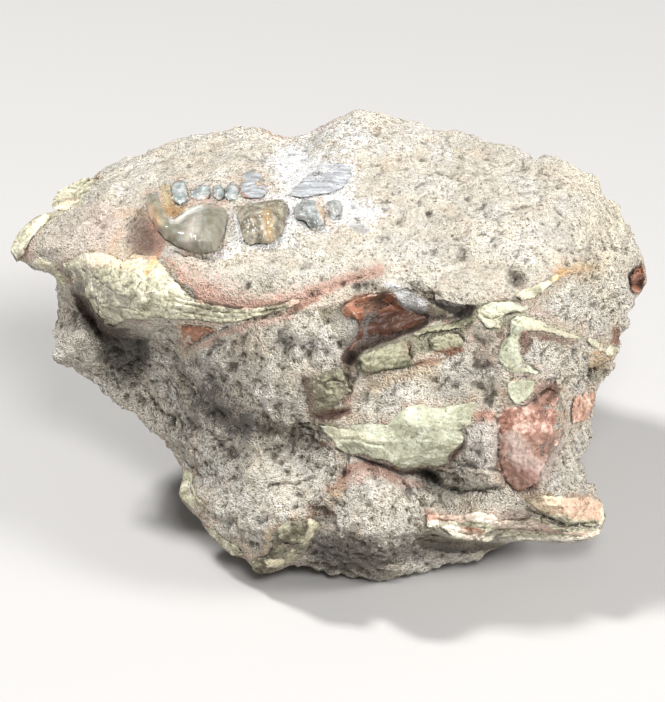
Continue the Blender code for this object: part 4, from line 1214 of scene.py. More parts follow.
# %% Stains and painted shade of the cheek arch, the plate and the inner jaw
STAINS_AND_PAINTED_SHADING |= {
    "arch_rust_one": ("rust", 0.9, 0.3, [
        (434, 353), (448, 348), (460, 346), (465, 351), (451, 356)]),
    "arch_rust_two": ("rust", 0.85, 0.3, [
        (413, 363), (423, 359), (440, 358), (452, 356), (434, 366), (417, 368)]),
    "arch_fill": ("sage", 0.75, 0.3, [
        (361, 353), (379, 344), (405, 337), (427, 327), (458, 322), (478, 309), (480, 316),
        (464, 334), (462, 343), (436, 352), (414, 356), (392, 366), (368, 374), (357, 378),
        (356, 362)]),
    "jaw_fill": ("sage", 0.5, 0.4, [
        (303, 378), (323, 371), (346, 374), (350, 386), (337, 402), (325, 414), (310, 412)]),
    "plate_tail": ("pistachio", 0.6, 0.35, [
        (322, 424), (350, 428), (386, 436), (392, 448), (352, 442), (330, 438)]),
    "hook_fill": ("pistachio", 0.6, 0.3, [
        (476, 300), (514, 300), (530, 316), (560, 324), (585, 336), (570, 340), (528, 330),
        (510, 322), (500, 336), (484, 326), (474, 312)]),
    "arch_sand": ("sand", 0.6, 0.8, [
        (362, 384), (392, 370), (440, 362), (440, 378), (400, 384), (372, 396)]),
    # Painted shade: the grey between the arch and the plate stands in for shade.
    "mid_painted_shade": ("ash", 0.5, 1.0, [(425, 378), (470, 366), (482, 390), (460, 404), (425, 400)]),
    "right_buff": ("buff", 0.75, 3.0, [
        (556, 88), (600, 124), (636, 180), (644, 230), (624, 258), (596, 262), (575, 240),
        (584, 200), (560, 150), (540, 110)]),
    # Painted shade: the rock under the shelf is painted darker.
    "shelf_shade": ("shade", 0.5, 0.5, [
        (424, 532), (446, 540), (476, 546), (470, 556), (440, 552), (424, 546)]),
    "right_buff_low": ("buff", 0.5, 1.5, [
        (575, 262), (624, 262), (618, 320), (596, 316), (580, 290)]),
    "arch_plum": ("plum", 0.6, 0.4, [(404, 340), (414, 344), (416, 356), (410, 360), (402, 352)]),
    "jaw_rim_red": ("plum", 0.9, 0.35, [
        (302, 376), (309, 378), (313, 390), (313, 404), (308, 412), (307, 396), (304, 386)]),
    "jaw_foot_red": ("plum", 0.95, 0.4, [
        (309, 412), (330, 409), (350, 407), (352, 414), (336, 420), (312, 419)]),
    "jaw_side_rose": ("rose", 0.5, 0.5, [
        (336, 400), (352, 391), (362, 395), (352, 404), (342, 406)]),
}

# %% [markdown]
# ### The flank and the lower lobe
# The flank is painted with shade where it turns in under the cheek, and a brick-red seam tops the
# lower lobe.

# %% Stains and painted shade of the flank and the lower lobe
STAINS_AND_PAINTED_SHADING |= {
    "flank_rim_rose": ("rose", 0.7, 0.4, [
        (186, 350), (216, 333), (249, 321), (287, 314), (296, 318), (262, 326), (228, 336),
        (200, 350)]),
    # Painted shade: both flank patches darken the flank where it turns in under the cheek.
    "flank_shadow": ("shade", 0.62, 1.8, [
        (205, 392), (222, 395), (252, 404), (282, 420), (330, 430), (322, 440), (284, 440),
        (246, 440), (216, 424), (200, 408)]),
    "flank_shadow_two": ("dusk", 0.45, 2.2, [
        (160, 360), (200, 352), (240, 368), (236, 400), (250, 440), (214, 440), (170, 400)]),
    "keel_spot": ("rust", 0.8, 0.3, [(319, 442), (325, 441), (327, 446), (321, 448)]),
    "keel_brown": ("olive", 0.5, 0.8, [(256, 420), (296, 426), (300, 436), (262, 434)]),
    "lobe_top": ("brick", 0.85, 0.35, [
        (336, 484), (341, 474), (348, 466), (357, 460), (372, 463), (389, 470), (401, 478),
        (394, 480), (380, 474), (360, 468), (350, 474), (340, 488)]),
    "lobe_top_halo": ("rose", 0.6, 0.8, [
        (324, 492), (346, 465), (372, 461), (410, 478), (406, 492), (370, 480), (345, 490)]),
    "lobe_flake_rose": ("rose", 0.6, 0.5, [
        (400, 478), (421, 478), (432, 488), (418, 492), (404, 486)]),
    "lobe_speckle": ("plum", 0.6, 0.7, [
        (306, 505), (318, 499), (334, 505), (340, 518), (322, 520), (304, 514)]),
    "lobe_ochre": ("ochre", 0.4, 0.8, [(322, 492), (345, 480), (344, 508), (328, 505)]),
}

# %% [markdown]
# ### The shelf and the side of the skull
# The shelf is pale ivory-cream, painted brighter along its front as light, since that face turns down
# into shade. It has salmon at its left end and plum along its foot. The skull bone above it is brown,
# with frosty crumbs of rock still on it. The rock under the shelf and the low part of the lobe are
# painted with shade.

# %% Stains, painted light and painted shade of the shelf and the side of the skull
STAINS_AND_PAINTED_SHADING |= {
    # Partly painted light: the cream front of the shelf is painted ivory-bright, though it faces down
    # into shade.
    "shelf_front": ("ivory", 1.0, 0.3, [
        (426, 522), (442, 521), (456, 525), (468, 533), (501, 537), (540, 537), (580, 538),
        (600, 532), (600, 541), (560, 544), (500, 544), (456, 540), (428, 530)]),
    "shelf_back": ("ivory", 0.6, 0.4, [
        (430, 508), (470, 512), (500, 506), (520, 500), (560, 524), (520, 530), (480, 524),
        (440, 518)]),
    "block_cream": ("wheat", 0.8, 0.4, [
        (520, 495), (548, 491), (558, 500), (554, 516), (534, 510)]),
    "block_salmon": ("peach", 0.65, 0.5, [
        (546, 504), (560, 495), (588, 494), (603, 502), (602, 522), (575, 522), (552, 514)]),
    "block_ridge": ("rose", 0.25, 0.4, [
        (519, 495), (540, 492), (556, 500), (548, 512), (530, 506)]),
    "skull_brown": ("umber", 0.55, 0.8, [
        (497, 440), (506, 430), (522, 436), (548, 428), (560, 440), (548, 470), (530, 470),
        (510, 456)]),
    "skull_low": ("umber", 0.95, 0.6, [
        (497, 453), (512, 458), (530, 464), (540, 474), (538, 490), (520, 494), (506, 484),
        (498, 468)]),
    "skull_frost": ("frost", 0.6, 0.6, [
        (505, 452), (524, 456), (540, 462), (546, 474), (536, 468), (516, 464)]),
    "skull_frost_two": ("frost", 0.5, 0.6, [
        (504, 436), (514, 430), (524, 440), (530, 456), (512, 452)]),
    "skull_frost_three": ("frost", 0.6, 0.6, [
        (548, 458), (562, 446), (566, 462), (552, 482), (540, 480)]),
    "skull_fade": ("salmon", 0.22, 0.8, [
        (494, 418), (520, 404), (548, 400), (566, 412), (568, 440), (560, 462), (548, 482),
        (530, 496), (510, 492), (498, 470), (494, 444)]),
    "mid_frost": ("frost", 0.7, 0.4, [
        (464, 428), (480, 420), (498, 424), (500, 448), (494, 468), (478, 472), (464, 460)]),
    "jaw_angle_cream": ("cream", 0.95, 0.3, [
        (308, 519), (321, 520), (318, 530), (309, 544), (299, 558), (284, 566), (268, 568),
        (264, 560), (284, 558), (298, 546), (308, 530)]),
    "jaw_angle_left": ("sand", 0.6, 0.4, [
        (262, 530), (274, 524), (276, 540), (270, 556), (262, 552)]),
    "shelf_rust": ("salmon", 1.0, 0.35, [
        (424, 509), (432, 511), (456, 514), (474, 516), (462, 522), (426, 520)]),
    "shelf_rose": ("rose", 0.7, 0.6, [
        (474, 514), (500, 508), (520, 508), (540, 518), (560, 532), (600, 530), (598, 538),
        (540, 534), (500, 528)]),
    "shelf_oval": ("rust", 0.75, 0.35, [
        (458, 528), (470, 525), (486, 530), (482, 538), (464, 537)]),
    "shelf_line": ("plum", 0.7, 0.3, [
        (421, 540), (440, 540), (470, 540), (490, 543), (460, 545), (420, 544)]),
    # Painted shade: the rock under the shelf and the low part of the lobe are painted dark.
    "under_shelf_dark": ("shade", 0.85, 0.3, [
        (420, 540), (440, 541), (463, 544), (500, 542), (506, 546), (480, 552), (440, 552),
        (420, 548)]),
    "lobe_shade": ("dusk", 0.75, 1.6, [
        (296, 548), (318, 532), (350, 534), (384, 542), (416, 534), (424, 556), (384, 576),
        (320, 574)]),
    "under_shelf": ("olive", 0.85, 0.5, [
        (420, 526), (440, 526), (454, 535), (498, 539), (505, 545), (463, 549), (420, 541)]),
    "seam_brown": ("plum", 0.9, 0.3, [
        (447, 461), (455, 451), (463, 442), (467, 445), (457, 457), (450, 466)]),
}

# %% [markdown]
# ### The right side, the temple and the left end
# Small umber hollows mark the right edge, plum and ochre lie along the temple's broken bones, and
# the recess under the cheek is painted dark with shade: a dark shadow under the bone's rim and dim
# shade below it.

# %% Stains and painted shade of the right side, the temple and the left end
STAINS_AND_PAINTED_SHADING |= {
    "right_hollow": ("umber", 1.0, 0.35, [
        (630, 274), (641, 265), (644, 276), (642, 291), (633, 284)]),
    "side_hollow": ("rust", 0.8, 0.35, [
        (611, 342), (612, 328), (620, 325), (622, 340), (617, 348)]),
    "right_tint": ("ochre", 0.4, 1.4, [
        (556, 260), (576, 258), (602, 264), (596, 276), (566, 282), (552, 276)]),
    "splint_tint": ("ochre", 0.5, 0.4, [
        (536, 292), (552, 277), (566, 269), (592, 265), (594, 270), (568, 275)]),
    "hook_red": ("plum", 0.75, 0.5, [
        (518, 330), (530, 328), (556, 333), (580, 342), (560, 344), (532, 338), (529, 352),
        (522, 358), (518, 346)]),
    "temple_corner_red": ("plum", 0.7, 0.4, [
        (497, 327), (505, 322), (506, 333), (500, 340), (494, 336)]),
    "temple_gap_rose": ("rose", 0.5, 0.8, [
        (530, 310), (545, 322), (575, 332), (560, 322), (545, 306)]),
    "temple_bar_ochre": ("ochre", 0.5, 0.6, [
        (584, 352), (600, 350), (612, 356), (600, 368), (588, 366)]),
    "ridge_brown": ("olive", 0.6, 0.6, [
        (583, 366), (598, 362), (612, 360), (606, 380), (590, 386)]),
    "scale_hollow": ("plum", 0.9, 0.5, [
        (524, 405), (540, 388), (553, 382), (562, 388), (556, 402), (536, 410)]),
    "scale_rose": ("rose", 0.8, 0.4, [(533, 390), (541, 380), (550, 380), (538, 396)]),
    "red_rock": ("salmon", 0.9, 0.35, [(472, 413), (484, 410), (498, 413), (494, 422), (474, 422)]),
    "side_salmon": ("peach", 0.3, 0.6, [
        (570, 402), (583, 394), (598, 390), (597, 404), (588, 413), (570, 422)]),
    "mid_brown": ("rose", 0.4, 1.0, [(462, 336), (490, 338), (500, 352), (492, 372), (468, 364)]),
    "top_edge_red": ("salmon", 0.8, 0.5, [
        (262, 124), (276, 128), (286, 137), (276, 136), (264, 130)]),
    "top_edge_red_two": ("salmon", 0.6, 0.6, [
        (300, 134), (318, 122), (336, 113), (342, 116), (320, 130)]),
    "knob_edge": ("olive", 0.5, 0.6, [
        (44, 350), (50, 366), (62, 366), (82, 368), (74, 362), (56, 358)]),
    # Painted shade: a dark shadow under the cheek bone's rim, and dim shade in the recess below it.
    "recess_rim_shadow": ("umber", 0.95, 0.35, [
        (70, 289), (90, 302), (99, 319), (110, 328), (128, 330), (118, 340), (104, 342), (93, 332),
        (79, 312)]),
    "recess_dark": ("shade", 1.0, 1.1, [
        (96, 318), (106, 328), (124, 332), (148, 338), (152, 352), (142, 366), (120, 368),
        (102, 356)]),
    "recess_low": ("dusk", 0.6, 2.0, [
        (98, 352), (146, 352), (156, 372), (146, 392), (118, 388), (100, 370)]),
    "knob_light": ("stone", 0.5, 0.8, [
        (46, 316), (70, 306), (82, 322), (90, 344), (70, 360), (48, 346)]),
}

# %% Painting the stains, and the patches of painted light and shade, on a mesh
ALMOST_NONE = 1e-6


def paint_stains_and_shading(piece, base, spared):
    """Write the stains and the patches of painted light and shade on a mesh: their colour, and in its
    alpha how strong they are. Stains of a spared tone are left out."""
    points = points_of(piece)
    front = front_share(normals_of(piece) @ OUT)
    spots = shaken(seen_at(points), points, *RAGGED)
    colour = np.tile(base, (len(points), 1))
    cover = np.zeros(len(points))
    for name, strength, soft, outline in STAINS_AND_PAINTED_SHADING.values():
        if name in spared:
            continue
        share = plate(spots, outline, strength, soft) * front
        total = np.maximum(share + cover, ALMOST_NONE)
        colour += (TONES[name] - colour) * share[:, None] / total[:, None]
        cover = cover + share * (1 - cover)
    painted = np.column_stack([np.clip(colour, 0, 1), cover]).astype(np.float32)
    layer = piece.data.attributes.new("stain_and_shading", "FLOAT_COLOR", "POINT")
    layer.data.foreach_set("color", painted.ravel())


# %% Finding the hollows, where dirt gathers and painted shade is laid
HOLLOW_ROUNDS = 30
HOLLOW_SMOOTHING = 0.6
DEEP_HOLLOW = 0.16


def find_hollows(piece):
    """Write how deep each point lies below the smoothed surface, from -1 on bumps to 1."""
    smooth = bpy.data.objects.new("smooth", piece.data.copy())
    bpy.context.scene.collection.objects.link(smooth)
    apply_modifier(smooth, "SMOOTH", factor=HOLLOW_SMOOTHING, iterations=HOLLOW_ROUNDS)
    sunk = ((points_of(smooth) - points_of(piece)) * normals_of(piece)).sum(1) / MM
    bpy.data.objects.remove(smooth)
    write_number(piece, "hollow", np.clip(sunk / DEEP_HOLLOW, -1, 1))


for piece in [block, *bones.values(), *teeth.values()]:
    paint_stains_and_shading(piece, TONES["stone"], spared=() if piece == block else ("chalk",))
    find_hollows(piece)
print("stains:", len(STAINS_AND_PAINTED_SHADING))

# %% [markdown]
# ## Materials
# Everything here is noise, ramps of colour, and the stains kept on the mesh. Photographed textures
# would be quicker, but a recipe of noise can be mended by changing one number. These few helpers keep
# the recipes short. Most add one shader node and hand back its result.


# %% Adding nodes
def add(tree, kind, values=None, **settings):
    """Add a shader node, with its settings, and set or link its sockets."""
    made = tree.nodes.new("ShaderNode" + kind)
    for name, value in settings.items():
        setattr(made, name, value)
    for socket, value in (values or {}).items():
        if isinstance(value, bpy.types.NodeSocket):
            tree.links.new(value, made.inputs[socket])
        else:
            made.inputs[socket].default_value = value
    return made


def new_material(name):
    """A new material, its node tree, its shader, and the place of each point of a piece."""
    made = bpy.data.materials.new(name)
    made.use_nodes = True
    tree = made.node_tree
    return made, tree, tree.nodes["Principled BSDF"], add(tree, "TexCoord").outputs["Object"]


def number_kept(tree, name):
    """A number that was kept on the mesh."""
    return add(tree, "Attribute", attribute_name=name).outputs["Fac"]


def stain_and_shading_kept(tree):
    """The colour of the stains and of the painted light and shade on the mesh, and their strength."""
    kept = add(tree, "Attribute", attribute_name="stain_and_shading")
    return kept.outputs["Color"], kept.outputs["Alpha"]


# %% Noise and sums
def grain(tree, place, size, detail, roughness):
    """Noise with grains of this many millimetres."""
    values = {"Vector": place, "Scale": 1 / (size * MM), "Detail": detail, "Roughness": roughness}
    return add(tree, "TexNoise", values).outputs["Fac"]


def worked(tree, how, first, second):
    """The result of one sum."""
    return add(tree, "Math", {0: first, 1: second}, operation=how).outputs["Value"]


def times(tree, first, second):
    """Two values multiplied."""
    return worked(tree, "MULTIPLY", first, second)


def plus(tree, first, second):
    """Two values added."""
    return worked(tree, "ADD", first, second)


def between(tree, value, low, high, to_low=0.0, to_high=1.0):
    """A value between two limits, turned into a share from to_low to to_high."""
    sockets = {
        "Value": value, "From Min": low, "From Max": high, "To Min": to_low, "To Max": to_high,
    }
    return add(tree, "MapRange", sockets, interpolation_type="SMOOTHSTEP").outputs["Result"]


# %% Colours
def mixed(tree, share, under, over, how="MIX"):
    """Mix two colours."""
    made = add(tree, "Mix", data_type="RGBA", blend_type=how, clamp_factor=True)
    for index, value in ((0, share), (6, under), (7, over)):
        if isinstance(value, bpy.types.NodeSocket):
            tree.links.new(value, made.inputs[index])
        elif index == 0:
            made.inputs[index].default_value = value
        else:
            made.inputs[index].default_value = (*value, 1.0)
    return made.outputs[2]


def tinted(tree, share, under, over):
    """A colour multiplied by another, as a wash of ink over a drawing."""
    return mixed(tree, share, under, over, "MULTIPLY")


def ramp(tree, value, stops):
    """A colour ramp through these (place, colour) stops."""
    made = add(tree, "ValToRGB", {"Fac": value})
    band = made.color_ramp
    while len(band.elements) < len(stops):
        band.elements.new(0.5)
    for element, (place, colour) in zip(band.elements, stops):
        element.position = place
        element.color = (*colour, 1.0)
    return made.outputs["Color"]


def coloured(tree, shader, colour, height, strength, deep):
    """Join a colour to the shader, and a bump of this strength and this many mm."""
    values = {"Height": height, "Strength": strength, "Distance": deep * MM}
    tree.links.new(colour, shader.inputs["Base Color"])
    tree.links.new(add(tree, "Bump", values).outputs["Normal"], shader.inputs["Normal"])


# %% [markdown]
# ### Siltstone
# Siltstone is dull and sandy: light and dark grains one to three tenths of a millimetre across, slow
# changes of tone over several millimetres, and dirt in the hollows, which are darkened further as
# painted shade. So noises of six sizes are laid over each other. Their order matters: first the bare
# sand, then the stains that soaked into it, and last the dirt and painted shade, which lie on top of
# both, with dark seams beside the bones that are partly painted contact shadow. One noise with many
# octaves would be quicker, but its large and small patches would always come together.

# %% Noises of the rock: size in mm, detail, roughness
STONE_NOISES = {
    "dust": (0.14, 1.0, 0.8), "grit": (0.27, 2.0, 0.8), "crumb": (0.80, 5.0, 0.68),
    "tint": (2.4, 4.0, 0.6), "clouds": (5.5, 4.0, 0.55), "rubble": (1.5, 5.0, 0.7),
}


def stone_noises(tree, place):
    """All noises of the rock by name, and its sand, which is half dust and half grit."""
    made = {name: grain(tree, place, *sizes) for name, sizes in STONE_NOISES.items()}
    made["sand"] = plus(tree, times(tree, made["dust"], 0.5), times(tree, made["grit"], 0.5))
    return made


# %% Bare rock
SMOOTH_LIGHTER = 1.04
WARM = [(0.36, (0.94, 0.94, 0.97)), (0.50, (1.0, 1.0, 0.99)), (0.66, (1.02, 0.96, 0.91))]
BLOTCHY = [(0.36, (0.86, 0.84, 0.81)), (0.50, (1.0, 1.0, 1.0)), (0.62, (1.06, 1.06, 1.06))]
CLOUDY = [(0.36, (0.93, 0.92, 0.90)), (0.60, (1.02, 1.02, 1.02))]


def bare_rock(tree, noises, dark, middle, light):
    """Sand of three tones, with smoother patches, and slow changes washed over it."""
    colour = ramp(tree, noises["sand"], [(0.36, dark), (0.45, middle), (0.55, light)])
    smooth_share = between(tree, noises["clouds"], 0.44, 0.56, 0.38, 0.0)
    colour = mixed(tree, smooth_share, colour, tuple(middle * SMOOTH_LIGHTER))
    for name, stops in (("tint", WARM), ("crumb", BLOTCHY), ("clouds", CLOUDY)):
        colour = tinted(tree, 1.0, colour, ramp(tree, noises[name], stops))
    return colour


# %% Stained rock, with the painted light and shade among its stains
BONE_TINGE = (0.66, 0.46, 0.34)
SPECKLED = [(0.34, (0.72, 0.67, 0.61)), (0.43, (0.94, 0.93, 0.92)), (0.58, (1.22, 1.23, 1.22))]


def stained_and_shaded_rock(tree, noises, colour):
    """Rock tinged brown near the bones, with the stains and the painted light and shade soaked in
    behind ragged edges.
    """
    crumb, sand = noises["crumb"], noises["sand"]
    stain_and_shading, strength = stain_and_shading_kept(tree)
    tinged = times(tree, number_kept(tree, "halo"), between(tree, crumb, 0.42, 0.60, 0.0, 0.75))
    colour = tinted(tree, tinged, colour, BONE_TINGE)
    stain_and_shading_colour = tinted(tree, 1.0, stain_and_shading, ramp(tree, sand, SPECKLED))
    ragged = plus(tree, times(tree, crumb, 1.3), times(tree, sand, 2.4))
    reach = plus(tree, strength, worked(tree, "SUBTRACT", ragged, 1.85))
    cover = times(tree, between(tree, reach, 0.28, 0.72), between(tree, strength, 0.0, 0.2))
    return mixed(tree, times(tree, cover, 0.9), colour, stain_and_shading_colour)


# %% Dirty and shaded rock: dirt and painted shade in the hollows, and painted contact shadow by the bones
FLECK_BROWN = (0.12, 0.105, 0.09)
HOLLOW_DIRT_AND_SHADE = (0.17, 0.15, 0.135)
SEAM_DARK_AND_SHADOW = (0.10, 0.08, 0.065)


def dirty_and_shaded_rock(tree, noises, lumpy, colour):
    """Rock with dark flecks, dirt and painted shade in its hollows, and dark seams beside the bones
    that are partly painted contact shadow.
    """
    crumb = noises["crumb"]
    mottle = plus(tree, times(tree, noises["grit"], 0.5), times(tree, crumb, 0.5))
    sifted = worked(tree, "SUBTRACT", mottle, times(tree, lumpy, 0.040))
    colour = mixed(tree, between(tree, sifted, 0.37, 0.31, 0.0, 0.5), colour, FLECK_BROWN)
    # Dirt and painted shade: points below the smoothed surface are darkened brown.
    dirt_and_shade = between(tree, number_kept(tree, "hollow"), 0.15, 1.0, 0.0, 0.75)
    colour = tinted(tree, dirt_and_shade, colour, HOLLOW_DIRT_AND_SHADE)
    # Partly painted contact shadow: a dark seam, both a dark joint and its shadow, runs beside each
    # bone.
    gap = between(tree, number_kept(tree, "gap"), 0.2, 1.0, 0.0, 0.6)
    seam_and_shadow = times(tree, gap, between(tree, crumb, 0.54, 0.44))
    return mixed(tree, seam_and_shadow, colour, SEAM_DARK_AND_SHADOW)


# %% The whole rock
STONE_ROUGHNESS = 0.93
STONE_BUMP = 0.70


def stone_material(name, dark, middle, light):
    """Sandy rock of these three tones."""
    made, tree, shader, place = new_material(name)
    noises = stone_noises(tree, place)
    lumpy = number_kept(tree, "lumpy")
    colour = bare_rock(tree, noises, dark, middle, light)
    colour = stained_and_shaded_rock(tree, noises, colour)
    colour = dirty_and_shaded_rock(tree, noises, lumpy, colour)
    shader.inputs["Roughness"].default_value = STONE_ROUGHNESS
    sandy = plus(tree, times(tree, noises["sand"], 2.2), times(tree, noises["crumb"], 1.7))
    height = plus(tree, sandy, times(tree, noises["rubble"], lumpy))
    coloured(tree, shader, colour, height, 1.0, STONE_BUMP)
    return made


siltstone = stone_material(
    "sandy siltstone", tone(140, 126, 106), tone(232, 223, 206), tone(255, 251, 241))
print("rock:", siltstone.name, "of", len(siltstone.node_tree.nodes), "nodes")

# %% [markdown]
# ### Bone
# Fossil bone is smoother than the rock, with small patches of light and dark, brown pinpricks, edges
# rubbed to a dull beige, and a waxy look where iron has stained it. Eight finishes are needed, from
# chalky to glossy brown, so one recipe takes their tones and numbers. Eight copies of the same nodes
# would have to be mended eight times.

# %% Recipe for bone
STREAK_TURN = math.radians(-38)
BONE_BUMP = 0.16
BONE_SPECKLED = [(0.36, (0.50, 0.46, 0.40)), (0.46, (0.93, 0.92, 0.90)), (0.60, (1.08, 1.08, 1.08))]
RUBBED_EDGE = (0.42, 0.36, 0.29)
SPECK_BROWN = (0.17, 0.13, 0.10)
BONE_DIRT_AND_SHADE = (0.20, 0.16, 0.11)


def bone_material(name, dark, middle, light, roughness=0.62, specks=0.8, relief=0.9,
                  streaks=(1.0, 1.0, 1.0)):
    """Worn bone. The streaks stretch its patches along an axis: less than 1 makes them longer."""
    made, tree, shader, place = new_material(name)
    turned = {"Vector": place, "Rotation": (0, 0, STREAK_TURN), "Scale": streaks}
    along = add(tree, "Mapping", turned).outputs["Vector"]
    patches = grain(tree, along, 0.9, 6.0, 0.70)
    fine = grain(tree, place, 0.22, 2.0, 0.8)
    crumb = grain(tree, place, 0.5, 4.0, 0.68)
    stain_and_shading, strength = stain_and_shading_kept(tree)
    hollow = number_kept(tree, "hollow")

    speckle = ramp(tree, fine, BONE_SPECKLED)
    colour = ramp(tree, patches, [(0.34, dark), (0.48, middle), (0.62, light)])
    colour = tinted(tree, specks, colour, speckle)
    cover = between(tree, worked(tree, "SUBTRACT", strength, crumb), -0.15, 0.2, 0.0, 0.9)
    colour = mixed(tree, cover, colour, tinted(tree, specks, stain_and_shading, speckle))
    edged = plus(tree, hollow, times(tree, crumb, 1.2))
    colour = mixed(tree, between(tree, edged, 0.25, -0.05, 0.0, 0.6), colour, RUBBED_EDGE)
    colour = mixed(tree, between(tree, crumb, 0.39, 0.33, 0.0, 0.7), colour, SPECK_BROWN)
    # Dirt and painted shade: the bone is darkened brown in its hollows.
    colour = tinted(tree, between(tree, hollow, 0.05, 0.9, 0.0, 0.8), colour, BONE_DIRT_AND_SHADE)
    shader.inputs["Roughness"].default_value = roughness
    height = plus(tree, times(tree, fine, 0.5), plus(tree, crumb, patches))
    coloured(tree, shader, colour, height, relief, BONE_BUMP)
    return made


# %% Finishes of bone
pale_bone = bone_material(
    "pale bone", tone(128, 123, 103), tone(184, 180, 155), tone(214, 211, 189))
smooth_bone = bone_material(
    "smooth bone", tone(148, 146, 122), tone(171, 172, 149), tone(196, 198, 178), 0.5, 0.5)
silky_bone = bone_material(
    "silky splinter", tone(116, 117, 120), tone(150, 152, 155), tone(196, 198, 200), 0.4, 0.3,
    streaks=(0.5, 4.0, 3.0))
green_bone = bone_material(
    "greenish bone", tone(74, 72, 56), tone(110, 110, 87), tone(154, 155, 131))
grey_bone = bone_material(
    "grey-brown bone", tone(68, 62, 50), tone(108, 101, 81), tone(172, 170, 145))
red_bone = bone_material(
    "iron-stained bone", tone(78, 50, 40), tone(148, 104, 86), tone(210, 182, 168), 0.45, 0.4, 0.6)
peach_bone = bone_material(
    "peach bone", tone(122, 88, 72), tone(176, 138, 118), tone(210, 184, 168), 0.5)
brown_bone = bone_material(
    "brown bone", tone(84, 58, 48), tone(134, 88, 66), tone(158, 114, 92), 0.38, 0.4, 0.45)
print("nodes in a bone finish:", len(pale_bone.node_tree.nodes))

# %% [markdown]
# ### Enamel
# Enamel is glassy: light goes a little way in, and a thin clear coat gives the sharp glint. Its cloudy
# bands run down the tooth, so the noise is squeezed sideways. Dentine and dirt lie over it as warm
# stains, and the dirt in its hollows is darkened further as painted shade. Some finishes also get
# small pale glints painted on as highlights. A mirror-like shine alone would look like glazed china.

# %% Recipe for enamel
ENAMEL_SHINE = {
    "Roughness": 0.22, "Subsurface Weight": 0.35, "Subsurface Scale": 0.6 * MM,
    "Coat Weight": 0.4, "Coat Roughness": 0.08,
}
DRAWN_OUT = (2.6, 2.0, 0.7)
PAINTED_GLINT_WHITE = (0.80, 0.81, 0.80)
TOOTH_DIRT_AND_SHADE = (0.35, 0.26, 0.16)
ENAMEL_BUMP = 0.03


def enamel_material(name, dark, middle, light, painted_sparkle=0.0):
    """Cloudy enamel of these three tones, with pale glints painted on as highlights if it sparkles."""
    made, tree, shader, place = new_material(name)
    drawn_out = add(tree, "Mapping", {"Vector": place, "Scale": DRAWN_OUT}).outputs["Vector"]
    fine = grain(tree, place, 0.15, 2.0, 0.6)
    stain_and_shading, strength = stain_and_shading_kept(tree)
    cloudy = grain(tree, drawn_out, 1.3, 3.0, 0.5)
    colour = ramp(tree, cloudy, [(0.32, dark), (0.5, middle), (0.68, light)])
    colour = mixed(tree, times(tree, strength, 0.75), colour, stain_and_shading)
    # Painted highlights: the brightest fine specks are mixed towards white as glints.
    colour = mixed(tree, between(tree, fine, 0.60, 0.70, 0.0, painted_sparkle), colour, PAINTED_GLINT_WHITE)
    # Dirt and painted shade: the tooth is darkened brown in its hollows.
    dirt_and_shade = between(tree, number_kept(tree, "hollow"), 0.0, 0.8, 0.0, 0.7)
    colour = tinted(tree, dirt_and_shade, colour, TOOTH_DIRT_AND_SHADE)
    for socket, value in ENAMEL_SHINE.items():
        shader.inputs[socket].default_value = value
    coloured(tree, shader, colour, fine, 0.15, ENAMEL_BUMP)
    return made


# %% Finishes of enamel
grey_enamel = enamel_material(
    "grey enamel", tone(110, 107, 91), tone(126, 123, 109), tone(141, 140, 129))
amber_enamel = enamel_material(
    "amber enamel", tone(90, 83, 67), tone(122, 115, 97), tone(164, 159, 142), 0.5)
pale_enamel = enamel_material(
    "pale blue enamel", tone(110, 115, 113), tone(138, 144, 142), tone(170, 175, 172))
blue_enamel = enamel_material(
    "blue-grey enamel", tone(98, 102, 100), tone(134, 138, 135), tone(176, 181, 178), 0.6)
print("nodes in an enamel finish:", len(grey_enamel.node_tree.nodes))

# %% [markdown]
# ## Dressing every piece
# Each worn copy takes the place of its CAD node, takes its finish, and rides with the fossil's one
# body. The CAD nodes themselves are never touched, so the lesson can be run again at any time.

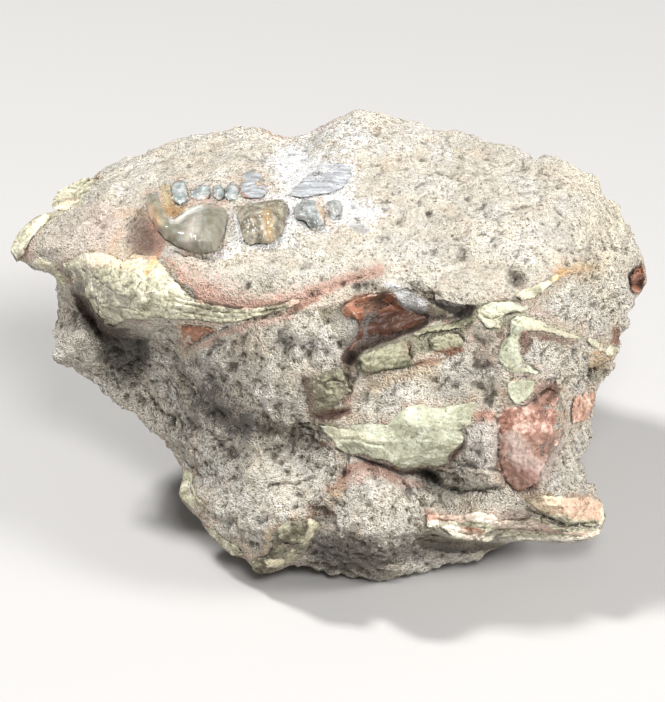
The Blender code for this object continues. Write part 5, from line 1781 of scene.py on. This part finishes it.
# %% Which finish each bone and tooth has
BONE_FINISHES = {
    "cheek_bone": pale_bone, "snout_bone": pale_bone, "snout_flake": pale_bone,
    "cheek_scrap": brown_bone, "orbit_bone": brown_bone, "arch_bone": green_bone,
    "arch_tile": green_bone, "arch_strip": green_bone, "temple_bone": smooth_bone,
    "temple_splint": pale_bone, "temple_hook": smooth_bone, "temple_scale": smooth_bone,
    "temple_bar": pale_bone, "inner_jaw_bone": grey_bone, "palate_plate": smooth_bone,
    "skull_bone": red_bone, "side_bone": peach_bone, "shelf_bone": pale_bone,
    "shelf_block": pale_bone, "jaw_angle_bone": grey_bone, "rim_bone_upper": pale_bone,
    "rim_bone_lower": pale_bone, "edge_bone": brown_bone, "splinter_round": silky_bone,
    "splinter_leaf": silky_bone, "crest_bone": brown_bone, "roof_bone": pale_bone,
    "far_cheek_bone": pale_bone, "ear_bone": pale_bone, "neck_bone": red_bone,
}
TOOTH_FINISHES = {
    "front_tooth": grey_enamel, "second_tooth": amber_enamel, "third_tooth": blue_enamel,
    "back_tooth": blue_enamel, "tooth_blade": pale_enamel, "cusp_left": pale_enamel,
    "cusp_middle": pale_enamel, "cusp_right": pale_enamel,
}


# %% Dressing
def dress(piece, finish, node):
    """Give a piece its finish and its body, and let it stand for its CAD node."""
    piece.data.materials.clear()
    piece.data.materials.append(finish)
    piece.data.polygons.foreach_set("use_smooth", [True] * len(piece.data.polygons))
    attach(piece, "root")
    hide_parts(node)


dress(block, siltstone, "matrix")
for node, piece in bones.items():
    finish = BONE_FINISHES[node]
    dress(piece, finish, node)
for node, piece in teeth.items():
    dress(piece, TOOTH_FINISHES[node], node)
print("pieces dressed:", 1 + len(bones) + len(teeth))

# %% [markdown]
# ### The floor
# The fossil stands on plain matt paper, whose pale grey throws a little light back up under it. The
# paper isn't part of the fossil, so it has no body and no slot. A cloth would only distract the eye.

# %% Floor
PAPER_GREY = (0.42, 0.41, 0.40, 1.0)
PAPER_ROUGHNESS = 0.9

floor_paper = bpy.data.materials.new("floor paper")
floor_paper.use_nodes = True
paper = floor_paper.node_tree.nodes["Principled BSDF"]
paper.inputs["Base Color"].default_value = PAPER_GREY
paper.inputs["Roughness"].default_value = PAPER_ROUGHNESS
floor.data.materials.append(floor_paper)
